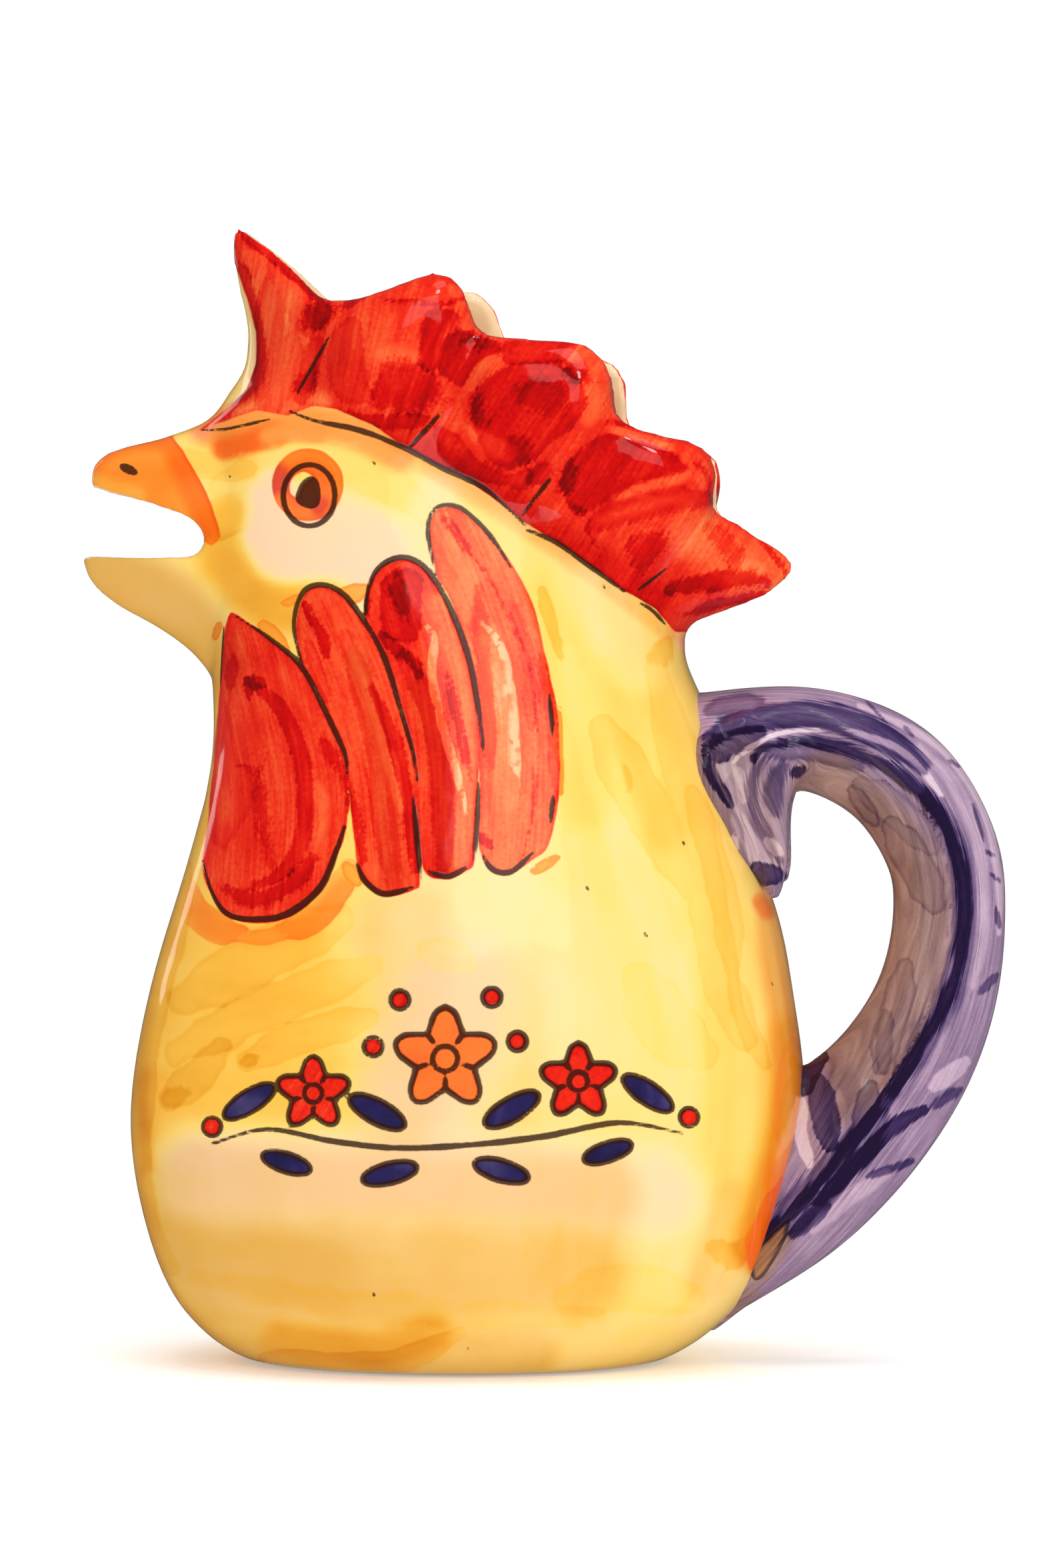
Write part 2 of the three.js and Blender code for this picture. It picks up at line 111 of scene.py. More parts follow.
def clay_copy(node):
    """A rounded copy of a solid: triangles merged and paired into quads, sharp edges kept."""
    piece = bpy.data.objects.new("clay_" + node, nodes[node].data.copy())
    bpy.context.scene.collection.objects.link(piece)
    select_only(piece)
    bpy.ops.object.mode_set(mode="EDIT")
    bpy.ops.mesh.select_all(action="SELECT")
    bpy.ops.mesh.customdata_custom_splitnormals_clear()
    bpy.ops.mesh.remove_doubles(threshold=MERGE_DISTANCE)
    bpy.ops.mesh.tris_convert_to_quads(face_threshold=QUAD_ANGLE, shape_threshold=QUAD_SKEW)
    bpy.ops.mesh.select_all(action="DESELECT")
    bpy.ops.mesh.edges_select_sharp(sharpness=SHARP_ANGLE)
    bpy.ops.transform.edge_crease(value=1)
    bpy.ops.object.mode_set(mode="OBJECT")
    apply_modifier(piece, "SUBSURF", levels=2, render_levels=2)
    return piece


def melt(name, pieces, voxel, swell, shrink, smoothing):
    """Joins rounded copies of solids into one skin."""
    for piece in pieces:
        apply_modifier(piece, "DISPLACE", strength=swell, mid_level=0)
    select_only(*pieces)
    bpy.ops.object.join()
    skin = bpy.context.active_object
    skin.name = name
    apply_modifier(skin, "REMESH", mode="VOXEL", voxel_size=voxel)
    apply_modifier(skin, "DISPLACE", strength=-shrink, mid_level=0)
    apply_modifier(skin, "SMOOTH", factor=0.5, iterations=smoothing)
    select_only(skin)
    bpy.ops.object.shade_smooth()
    print(name, "faces:", len(skin.data.polygons))
    return skin


# %% The body, the beak and the comb as one skin
BODY_NODES = [
    "floor_disc", "belly_wall", "head_wall", "lower_beak", "upper_beak",
    "comb_left_wall", "comb_right_wall",
]
body_copies = [clay_copy(node) for node in BODY_NODES]
body = melt("jug_body", body_copies, voxel=0.00145, swell=0.0007, shrink=0.0007, smoothing=8)

# %% [markdown]
# ## The handle
# The strap and its root are luted to the wall, so their ends must sink into it. The ends of the
# solids stop a film of slip short of the wall. The points there are found by their distance to the
# wall's solids and pushed in. The root was pressed on in folds and the strap's foot runs out to a
# point, so rolls of clay are laid there: curves with a round bevel, placed by pixels of the
# photograph and found on the body by the camera's line of sight. All is then melted into one skin.

# %% Ends that sink into the wall
HANDLE_NODES = ["handle_strap", "handle_root"]
WALL_NODES = ["belly_wall", "head_wall"]
END_GAP = 0.0006
END_SINK = 0.0035


def sink_ends(piece):
    """Pushes the points that lie against the wall forwards into it."""
    ends = 0
    for vertex in piece.data.vertices:
        nearest = [nodes[wall].closest_point_on_mesh(vertex.co)[1] for wall in WALL_NODES]
        if min((place - vertex.co).length for place in nearest) < END_GAP:
            vertex.co.x -= END_SINK
            ends += 1
    print(piece.name, "points sunk:", ends)
    return piece


# %% Rolls of clay
FOCAL = CAMERA_DISTANCE / PIXEL
ROOT_SIDE = -0.0105
ROOT_ROLLS = [
    ([(1072, 1092), (1056, 1112), (1052, 1138), (1059, 1168), (1074, 1200), (1094, 1234), (1106, 1268),
      (1130, 1302), (1150, 1314)], 2.9),
    ([(1120, 1084), (1088, 1106), (1078, 1140), (1084, 1180), (1100, 1224), (1120, 1266), (1142, 1302),
      (1154, 1316)], 3.9),
    ([(1166, 1104), (1124, 1134), (1114, 1176), (1124, 1230), (1142, 1280), (1160, 1318)], 4.0),
    ([(1205, 1128), (1172, 1164), (1160, 1210), (1162, 1260), (1166, 1300), (1162, 1320)], 3.4),
    ([(1146, 1296), (1158, 1316), (1164, 1328)], 3.6),
]
ROOT_THIN_END = 0.6
STRAP_TAIL = [(1165, 1868), (1128, 1918), (1096, 1954), (1062, 1990)]
STRAP_TAIL_RADIUS = 5.6
STRAP_TAIL_SIDES = (-0.0052, 0, 0.0052)
STRAP_TAIL_CLOSE = 0.3
STRAP_TAIL_THIN_END = 0.25


def sight(pixel):
    """The camera's line of sight through a pixel."""
    across = (pixel[0] - PHOTO_SIZE[0] / 2) / FOCAL
    down = (pixel[1] - PHOTO_SIZE[1] / 2) / FOCAL
    return right * across - up * down - back


def at_depth(pixel, y):
    """The place at a pixel in an upright plane."""
    return camera.location + sight(pixel) * ((y - camera.location.y) / sight(pixel).y)


def on_clay(pixel):
    """The place at a pixel on the body, or on the root's side where that is nearer."""
    found, place, _, _ = body.ray_cast(camera.location, sight(pixel))
    return place if found and place.y < ROOT_SIDE else at_depth(pixel, ROOT_SIDE)


def clay_roll(places, radius, thin_end):
    """A roll of clay along some places, its radius in millimetres, thinned towards its far end."""
    path = bpy.data.curves.new("clay_roll", "CURVE")
    path.dimensions, path.bevel_resolution, path.use_fill_caps = "3D", 3, True
    path.bevel_depth = 0.001 * radius
    spline = path.splines.new("NURBS")
    spline.points.add(len(places) - 1)
    for number, (point, place) in enumerate(zip(spline.points, places)):
        point.co = (*place, 1)
        point.radius = 1 - (1 - thin_end) * number / (len(places) - 1)
    spline.use_endpoint_u = True
    roll = bpy.data.objects.new("clay_roll", path)
    bpy.context.scene.collection.objects.link(roll)
    select_only(roll)
    bpy.ops.object.convert(target="MESH")
    return bpy.context.active_object


rolls = []
for side in STRAP_TAIL_SIDES:
    spread = [side * share for share in np.linspace(1, STRAP_TAIL_CLOSE, len(STRAP_TAIL))]
    tail = [at_depth(*spot) for spot in zip(STRAP_TAIL, spread)]
    rolls.append(clay_roll(tail, STRAP_TAIL_RADIUS, STRAP_TAIL_THIN_END))
for pixels, radius in ROOT_ROLLS:
    near = [on_clay(pixel) for pixel in pixels]
    far = [Vector((place.x, -place.y, place.z)) for place in near]
    rolls.append(clay_roll(near, radius, ROOT_THIN_END))
    rolls.append(clay_roll(far, radius, ROOT_THIN_END))
print("rolls of clay:", len(rolls))

# %% The handle as a second skin
handle_copies = [sink_ends(clay_copy(node)) for node in HANDLE_NODES]
handle = melt("jug_handle", handle_copies + rolls, voxel=0.0008, swell=0.0008, shrink=0.0006, smoothing=8)

# %% [markdown]
# ## A thin mesh where nobody looks
# The skin has the same fine grid inside the jug as outside. The paint needs that grid, and the plain
# inside doesn't, so Decimate thins the inside alone, through a vertex group. A point is inside when
# its normal looks towards the jug's axis. The beak and the back wall need a rule of their own: in the
# beak the gap between its halves takes the axis's place, and a wall on the middle line that looks
# forwards at the back, or backwards in the beak, is inside too.

# %% Points, normals and the inside
JUG_AXIS_X = -0.02
LENGTH_TO_WIDTH = 4
FOOT_TOP = 0.02
FOOT_DOWN = -0.05
BEAK_START_X = -0.066
BEAK_BOTTOM = 0.16
BEAK_GAP = 0.18
BEAK_BACK_SLOPE = 0.35
BACK_START_X = -0.01
BACK_HALF_WIDTH = 0.012
BACK_SLOPE = 0.2
WEIGHT_STEPS = 20


def points_of(mesh):
    """A mesh's points and normals as arrays."""
    points, normals = np.empty(len(mesh.vertices) * 3), np.empty(len(mesh.vertices) * 3)
    mesh.vertices.foreach_get("co", points)
    mesh.vertices.foreach_get("normal", normals)
    return points.reshape(-1, 3), normals.reshape(-1, 3)


def outwardness(mesh):
    """How far each point's normal looks away from the axis: 1 outside, -1 inside, 0 on a rim."""
    points, normals = points_of(mesh)
    x, y, z = points.T
    away = np.stack([(x - JUG_AXIS_X) / LENGTH_TO_WIDTH, y, np.zeros(len(points))], axis=1)
    away[z < FOOT_TOP, 2] = FOOT_DOWN
    front = x < BEAK_START_X
    beak = front & (z > BEAK_BOTTOM)
    away[beak, 0] = 0
    away[beak, 2] = z[beak] - BEAK_GAP
    away /= np.linalg.norm(away, axis=1, keepdims=True) + 1e-9
    outward = (away * normals).sum(axis=1)
    beak_inside = front & (normals[:, 0] > BEAK_BACK_SLOPE)
    back_inside = (np.abs(y) < BACK_HALF_WIDTH) & (x > BACK_START_X) & (normals[:, 0] < -BACK_SLOPE)
    outward[beak_inside | back_inside] = -1
    return outward


def set_group(piece, name, weights):
    """A vertex group with a weight for each point, rounded to a few steps."""
    group = piece.vertex_groups.new(name=name)
    steps = np.round(np.clip(weights, 0, 1) * WEIGHT_STEPS).astype(int)
    for step in range(1, WEIGHT_STEPS + 1):
        group.add(np.flatnonzero(steps == step).tolist(), step / WEIGHT_STEPS, "REPLACE")


def count_triangles(piece):
    piece.data.calc_loop_triangles()
    return len(piece.data.loop_triangles)


# %% Thin the inside
INSIDE = -0.4
THIN_START_X = -0.068
THINNED_SHARE = 0.93
body_points, _ = points_of(body.data)
inner = (outwardness(body.data) < INSIDE) & (body_points[:, 0] > THIN_START_X)
set_group(body, "inside", inner)
before = count_triangles(body)
apply_modifier(body, "DECIMATE", ratio=1 - THINNED_SHARE * inner.mean(), vertex_group="inside")
body.vertex_groups.clear()
print("triangles before:", before, "after:", count_triangles(body), "inside:", round(inner.mean(), 2))

# %% [markdown]
# ## A brush that works in the photograph's pixels
# The painter's strokes are easiest to follow in the photograph, so each point of the clay gets its
# pixel there, and the far side gets the same pixels mirrored. A stroke is a smooth line through a few
# pixels, a shape is a closed line. Their distances are stored on the points as attributes: a
# material can cut a distance off sharply, so an edge stays crisp on a grid of a millimetre. Where the
# clay turns away from the camera, a pixel covers more of it, so lines are kept thin there by how
# squarely a point faces the camera.

# %% Places, lines and distances
FAR = 60.0
LEAST_FACING = 0.1


def photo_places(mesh):
    """Each point's pixel, the far side mirrored, and how squarely it faces the camera."""
    points, normals = points_of(mesh)
    normals[points[:, 1] > 0, 1] *= -1
    points[:, 1] = -np.abs(points[:, 1])
    rays = points - np.array(camera.location)
    depth = -(rays @ np.array(back))
    across = PHOTO_SIZE[0] / 2 + FOCAL * (rays @ np.array(right)) / depth
    down = PHOTO_SIZE[1] / 2 - FOCAL * (rays @ np.array(up)) / depth
    facing = -(rays * normals).sum(axis=1) / np.linalg.norm(rays, axis=1)
    return np.stack([across, down], axis=1), np.clip(facing, 0, 1)


def smooth_line(points, closed=False, steps=6):
    """A smooth line through a few points (Catmull-Rom)."""
    points = np.array(points, dtype=float)
    if len(points) < 3 and not closed:
        return points
    ends = (points[-1:], points[:2]) if closed else (points[:1], points[-1:])
    run = np.concatenate([ends[0], points, ends[1]])
    line = []
    for a, b, c, d in zip(run, run[1:], run[2:], run[3:]):
        for t in np.arange(steps) / steps:
            line.append(0.5 * (2*b + (c - a)*t + (2*a - 5*b + 4*c - d)*t*t + (3*b - a - 3*c + d)*t**3))
    line.append(points[0] if closed else points[-1])
    return np.array(line)


def to_line(places, line):
    """The distance from each place to a line, and how far along it that is, from 0 to 1."""
    lengths = np.linalg.norm(np.diff(line, axis=0), axis=1)
    ends = np.concatenate([[0], np.cumsum(lengths)]) / max(lengths.sum(), 1e-9)
    nearest, along = np.full(len(places), 1e9), np.zeros(len(places))
    for start, stop, low, high in zip(line, line[1:], ends, ends[1:]):
        step = stop - start
        t = np.clip(((places - start) @ step) / max(step @ step, 1e-9), 0, 1)
        gap = np.linalg.norm(places - start - t[:, None] * step, axis=1)
        closer = gap < nearest
        nearest[closer], along[closer] = gap[closer], (low + (high - low) * t)[closer]
    return nearest, along


def within(places, line):
    """Which places lie inside a closed line."""
    inside = np.zeros(len(places), dtype=bool)
    x, y = places.T
    for (x0, y0), (x1, y1) in zip(line, line[1:]):
        if y0 != y1:
            inside ^= ((y0 > y) != (y1 > y)) & (x < (x1 - x0) * (y - y0) / (y1 - y0) + x0)
    return inside


def closed(outline):
    """An outline with its first point again at its end."""
    return np.concatenate([outline, outline[:1]])


def fade(value, low, high):
    """A soft step from 0 at low to 1 at high."""
    t = np.clip((value - low) / (high - low), 0, 1)
    return t * t * (3 - 2 * t)


def ellipse(x, y, wide, high=None, turn=0, count=14):
    """A closed line round an ellipse, given by its half sizes in pixels and its turn in degrees."""
    angles = np.arange(count) * 2 * math.pi / count
    wide_part, high_part = wide * np.cos(angles), (high or wide) * np.sin(angles)
    c, s = math.cos(math.radians(turn)), math.sin(math.radians(turn))
    return np.stack([x + wide_part * c - high_part * s, y + wide_part * s + high_part * c], axis=1)


# %% The canvas
LINE_END = 0.25
WASH_CORE = 0.3
COAT_END, COAT_END_WIDTH = 0.2, 0.6


class Canvas:
    """The paint on one piece: layers of numbers, one for each point."""

    def __init__(self, piece):
        self.mesh = piece.data
        self.places, self.facing = photo_places(self.mesh)
        self.layers = {}

    def layer(self, name, start=-FAR):
        if name not in self.layers:
            self.layers[name] = np.full(len(self.places), float(start))
        return self.layers[name]

    def around(self, line, reach):
        """The points whose pixels lie near a line."""
        low, high = line.min(axis=0) - reach, line.max(axis=0) + reach
        return np.flatnonzero(((self.places > low) & (self.places < high)).all(axis=1))

    def stroke(self, name, points, width, taper=0.0):
        """Adds a thin line to a layer of distances; its half width holds where clay faces the camera."""
        line = smooth_line(points)
        chosen = self.around(line, FAR + width)
        gap, along = to_line(self.places[chosen], line)
        slim = 1 - taper * (1 - fade(np.minimum(along, 1 - along), 0, LINE_END))
        layer = self.layer(name)
        on_clay_gap = gap / np.maximum(self.facing[chosen], LEAST_FACING)
        layer[chosen] = np.maximum(layer[chosen], width * slim - on_clay_gap)

    def inside(self, outline, straight=False):
        """The points near a closed line, and how far inside it each lies."""
        line = closed(np.array(outline, dtype=float)) if straight else smooth_line(outline, closed=True)
        chosen = self.around(line, FAR)
        gap, _ = to_line(self.places[chosen], line)
        return chosen, np.where(within(self.places[chosen], line), gap, -gap)

    def shape(self, name, outline, straight=False):
        """Adds a filled shape to a layer of distances."""
        chosen, depth = self.inside(outline, straight)
        layer = self.layer(name)
        layer[chosen] = np.maximum(layer[chosen], depth)
        return chosen, depth

    def spare(self, name, outline):
        """Takes a filled shape out of a layer of distances."""
        chosen, depth = self.inside(outline)
        layer = self.layer(name)
        layer[chosen] = np.minimum(layer[chosen], -depth)

    def wash(self, name, strokes, ground=0.0):
        """Pulls a layer softly to a value along broad strokes of (line, reach, value, strength)."""
        layer = self.layer(name, ground)
        for points, reach, value, *strength in strokes:
            line = smooth_line(points)
            chosen = self.around(line, reach)
            gap, _ = to_line(self.places[chosen], line)
            pull = (strength[0] if strength else 1) * (1 - fade(gap, WASH_CORE * reach, reach))
            layer[chosen] += (value - layer[chosen]) * pull
        print(name, "washes:", len(strokes))

    def coat(self, name, strokes):
        """Lays strokes of (line, half width, thickness, softness); no half width fills the line."""
        deep, amount = self.layer(name), self.layer(name + "_amount", 0.0)
        for points, width, thickness, softness in strokes:
            if width:
                line = smooth_line(points)
                chosen = self.around(line, FAR + width)
                gap, along = to_line(self.places[chosen], line)
                full = fade(np.minimum(along, 1 - along), 0, COAT_END)
                depth = width * (COAT_END_WIDTH + (1 - COAT_END_WIDTH) * full) - gap
            else:
                chosen, depth = self.inside(points)
            depth = depth / softness
            nearer = depth > deep[chosen]
            deep[chosen[nearer]], amount[chosen[nearer]] = depth[nearer], thickness
        print(name, "strokes:", len(strokes))

    def store(self):
        """Writes the layers to the mesh as attributes."""
        for name, values in self.layers.items():
            kind = "FLOAT_VECTOR" if values.ndim == 2 else "FLOAT"
            attribute = self.mesh.attributes.new(name, kind, "POINT")
            attribute.data.foreach_set("vector" if values.ndim == 2 else "value", values.ravel())
        print("layers:", ", ".join(self.layers))


# %% [markdown]
# ## Fingerprints in the clay
# The solids have the jug's main forms, and the fingers that pressed the clay are still missing: the
# comb's lobes are pillows with a rolled lip, the valleys between them are pressed in, and a thumb has
# run along the strap. Sculpt strokes push the points sideways or along their normals, by the same
# brush, before anything is painted, and Smooth rubs the comb's foot and the beak's root round.

# %% Sculpt strokes
OUTER_STEP = (0.0, 0.4)
SOFT_CORE = 0.4


def sculpt(piece, strokes, outside_only=True, sideways=False):
    """Pushes points under strokes of (line, reach in pixels, height in mm), along normals or sideways."""
    points, normals = points_of(piece.data)
    canvas = Canvas(piece)
    weight = fade(outwardness(piece.data), *OUTER_STEP) if outside_only else np.ones(len(points))
    lift = np.zeros(len(points))
    for line, width, height in strokes:
        line = smooth_line(line)
        chosen = canvas.around(line, width)
        gap, _ = to_line(canvas.places[chosen], line)
        lift[chosen] += height * (1 - fade(gap, 0, width))
    ways = np.sign(points[:, 1:2]) * np.array([[0, 1, 0]]) if sideways else normals
    points += ways * (0.001 * lift * weight)[:, None]
    piece.data.vertices.foreach_set("co", points.ravel())
    piece.data.update()
    print(piece.name, "highest stroke in mm:", round(float(np.abs(lift * weight).max()), 2))


def soften(piece, lines, width, iterations):
    """Smooths a piece near some lines."""
    canvas = Canvas(piece)
    weights = np.zeros(len(canvas.places))
    for line in lines:
        gap, _ = to_line(canvas.places, smooth_line(line))
        weights = np.maximum(weights, 1 - fade(gap, SOFT_CORE * width, width))
    set_group(piece, "soft", weights)
    apply_modifier(piece, "SMOOTH", factor=0.5, iterations=iterations, vertex_group="soft")
    piece.vertex_groups.clear()
    print(piece.name, "points softened:", int((weights > 0).sum()))


COMB_FOOT = [(262, 656), (330, 640), (400, 622), (470, 622), (560, 645), (616, 676), (719, 727), (786, 786),
             (879, 845), (959, 904), (1010, 950)]
BEAK_ROOT = [(268, 640), (280, 700), (305, 770), (325, 815), (310, 850), (290, 900)]
soften(body, [COMB_FOOT, BEAK_ROOT], width=55, iterations=40)

# %% Lips and valleys of the comb
COMB_LIPS = [
    ([(540, 452), (590, 432), (640, 424), (688, 442)], 120, 2.0),
    ([(752, 530), (850, 525), (900, 556)], 120, 3.2),
    ([(905, 645), (960, 655), (1035, 682)], 125, 4.4),
    ([(1080, 780), (1140, 812)], 70, 1.2),
]
COMB_VALLEYS = [
    ([(508, 470), (480, 540), (450, 590)], 46, -0.8),
    ([(712, 505), (690, 580), (650, 640)], 50, -1.0),
    ([(905, 600), (870, 680), (820, 740)], 50, -1.0),
    ([(1068, 765), (1030, 830), (985, 880)], 46, -0.8),
    ([(1180, 884), (1120, 900), (1050, 925), (1020, 945)], 24, -0.6),
]
COMB_MIDDLE = [(350, 360), (430, 470), (610, 500), (800, 600), (950, 720), (1100, 830)]
sculpt(body, COMB_LIPS, sideways=True)
sculpt(body, COMB_VALLEYS)
soften(body, [COMB_MIDDLE], width=190, iterations=4)

# %% Thumb strokes on the strap
STRAP_PRESSES = [
    ([(1076, 1130), (1120, 1088), (1190, 1066), (1267, 1092), (1344, 1150), (1410, 1222), (1441, 1318),
      (1436, 1431), (1401, 1543), (1344, 1621), (1281, 1719), (1218, 1790)], 26, 0.9),
    ([(1098, 1150), (1130, 1118), (1182, 1096), (1250, 1112), (1320, 1160), (1380, 1230), (1408, 1320),
      (1402, 1430), (1370, 1530), (1310, 1620)], 24, -0.7),
]
sculpt(handle, STRAP_PRESSES, outside_only=False)

# %% [markdown]
# ## Lines, and a finer grid under them
# The brown lines are the finest strokes on the jug. They are listed before the painting, because the
# grid is made finer under them first: the faces near a line are selected by their distance and
# subdivided once. On the belly the same brush draws a plain garland: three flowers, leaves and
# berries, as on country pottery everywhere.

# %% Brown lines
FEATHER_LINES = [
    (3.4, [(336, 939), (333, 985), (331, 1032)]),
    (6.2, [(304, 1290), (319, 1341), (343, 1372), (386, 1379), (433, 1370), (481, 1331), (505, 1274),
           (517, 1240)]),
    (4.8, [(355, 925), (405, 958), (453, 1001), (491, 1073), (517, 1130), (521, 1160)]),
    (4.6, [(453, 997), (441, 939), (453, 891), (481, 877), (515, 891), (548, 934), (577, 987), (601, 1064),
           (620, 1130), (626, 1171)]),
    (4.6, [(620, 1197), (625, 1250), (631, 1319)]),
    (4.8, [(536, 1296), (548, 1322), (577, 1341), (620, 1331)]),
    (4.8, [(548, 939), (551, 891), (567, 853), (601, 836), (634, 848), (663, 887), (687, 939), (706, 997),
           (718, 1064), (726, 1126)]),
    (4.2, [(718, 1174), (716, 1226), (712, 1291)]),
    (4.2, [(642, 1307), (673, 1315), (701, 1300)]),
    (3.7, [(654, 863), (642, 796), (654, 762), (687, 760), (720, 786), (744, 815), (766, 851)]),
    (3.6, [(824, 1042), (830, 1104)]), (3.6, [(830, 1195), (826, 1233)]),
    (4.2, [(723, 1281), (740, 1305), (768, 1307), (799, 1279)]),
]
COMB_LINES = [
    (4.0, [(302, 645), (336, 644), (365, 638), (404, 629)]),
    (4.4, [(435, 617), (473, 631), (522, 641), (557, 651), (593, 666), (616, 676), (670, 705), (719, 727),
           (748, 749), (787, 787)]),
    (4.4, [(791, 795), (834, 813), (879, 845), (937, 887)]), (4.2, [(959, 904), (979, 916), (1000, 939)]),
    (3.7, [(493, 507), (446, 590)]), (3.7, [(664, 617), (612, 674)]), (3.7, [(826, 717), (784, 772)]),
    (3.7, [(1000, 853), (955, 887)]),
]
EYE_RING, NOSTRIL = ellipse(464, 743, 39, 46), ellipse(193, 704, 13, 5, 25)
PUPIL = np.array([(446, 745), (452, 729), (461, 719), (470, 718), (476, 726), (478, 741), (476, 755),
                  (468, 760), (455, 757), (448, 752)], dtype=float)
SPECKS = [(1158, 1474), (1025, 1263), (968, 1400), (560, 692), (344, 713), (905, 878), (700, 2020),
          (560, 1940), (880, 1330)]
LINE_TAPER = 0.45
EYE_LINE, PUPIL_LINE, FINE_LINE = 4.6, 3.0, 2.4

lines = [(line, width, LINE_TAPER) for width, line in FEATHER_LINES + COMB_LINES]
for outline, width in ((EYE_RING, EYE_LINE), (PUPIL, PUPIL_LINE), (NOSTRIL, FINE_LINE)):
    lines.append((closed(outline), width, 0.0))
lines += [([(x, y), (x + 2, y + 4)], FINE_LINE, 0.0) for x, y in SPECKS]
print("lines on the bird:", len(lines))

# %% The garland's lines
FLOWERS = [(668, 1588, 78, "orange_shape"), (470, 1640, 56, "red_shape"), (868, 1622, 58, "red_shape")]
GARLAND = [(318, 1716), (400, 1694), (500, 1712), (600, 1722), (720, 1716), (820, 1704), (930, 1684),
           (1024, 1700)]
LEAVES = [(374, 1652, 44, 16, -32), (566, 1668, 46, 17, 28), (585, 1760, 42, 15, -14),
          (768, 1664, 46, 17, -30), (752, 1756, 42, 15, 16), (972, 1640, 44, 16, 34),
          (430, 1744, 38, 14, 18), (912, 1728, 38, 14, -18)]
BERRIES = [(560, 1570), (776, 1562), (318, 1690), (1034, 1676), (600, 1500), (738, 1496)]
PETALS = 5
PETAL_DEPTH = 0.2
PETAL_LINE, STEM_LINE, HEART_LINE, BERRY_LINE = 4.5, 4.8, 4.2, 4.0
STEM_TAPER = 0.4
HEART_SIZE = 0.24
TICK_ENDS = (0.6, 0.36)
BERRY_SIZE = 14

angles = np.arange(PETALS * 6) * 2 * math.pi / (PETALS * 6)
petal_reach = 1 - PETAL_DEPTH + PETAL_DEPTH * np.cos(angles * PETALS)
flower_outlines = []
for x, y, size, layer in FLOWERS:
    reach = size * petal_reach
    outline = np.stack([x + reach * np.sin(angles), y - reach * np.cos(angles)], axis=1)
    flower_outlines.append((layer, outline))
    lines.append((closed(outline), PETAL_LINE, 0.0))
    lines.append((closed(ellipse(x, y, size * HEART_SIZE)), HEART_LINE, 0.0))
    for petal in range(PETALS):
        turn = (petal + 0.5) * 2 * math.pi / PETALS
        spoke = np.array([math.sin(turn), -math.cos(turn)]) * size
        lines.append(([np.array([x, y]) + spoke * end for end in TICK_ENDS], PETAL_LINE, STEM_TAPER))
lines.append((GARLAND, STEM_LINE, STEM_TAPER))
lines += [(closed(ellipse(*leaf)), PETAL_LINE, 0.0) for leaf in LEAVES]
lines += [(closed(ellipse(x, y, BERRY_SIZE)), BERRY_LINE, 0.0) for x, y in BERRIES]
print("lines with the garland:", len(lines))


# %% A finer grid under the lines
def refine(piece, strokes, reach):
    """Subdivides the outer faces near some strokes."""
    canvas = Canvas(piece)
    for line, width, _ in strokes:
        canvas.stroke("near", line, width)
    near = (canvas.layers["near"] > -reach) & (outwardness(piece.data) > INSIDE)
    for face in piece.data.polygons:
        face.select = bool(near[list(face.vertices)].any())
    select_only(piece)
    bpy.ops.object.mode_set(mode="EDIT")
    bpy.ops.mesh.select_mode(type="FACE")
    bpy.ops.mesh.subdivide(number_cuts=1)
    bpy.ops.object.mode_set(mode="OBJECT")
    print(piece.name, "triangles:", count_triangles(piece))


refine(body, lines, reach=4)
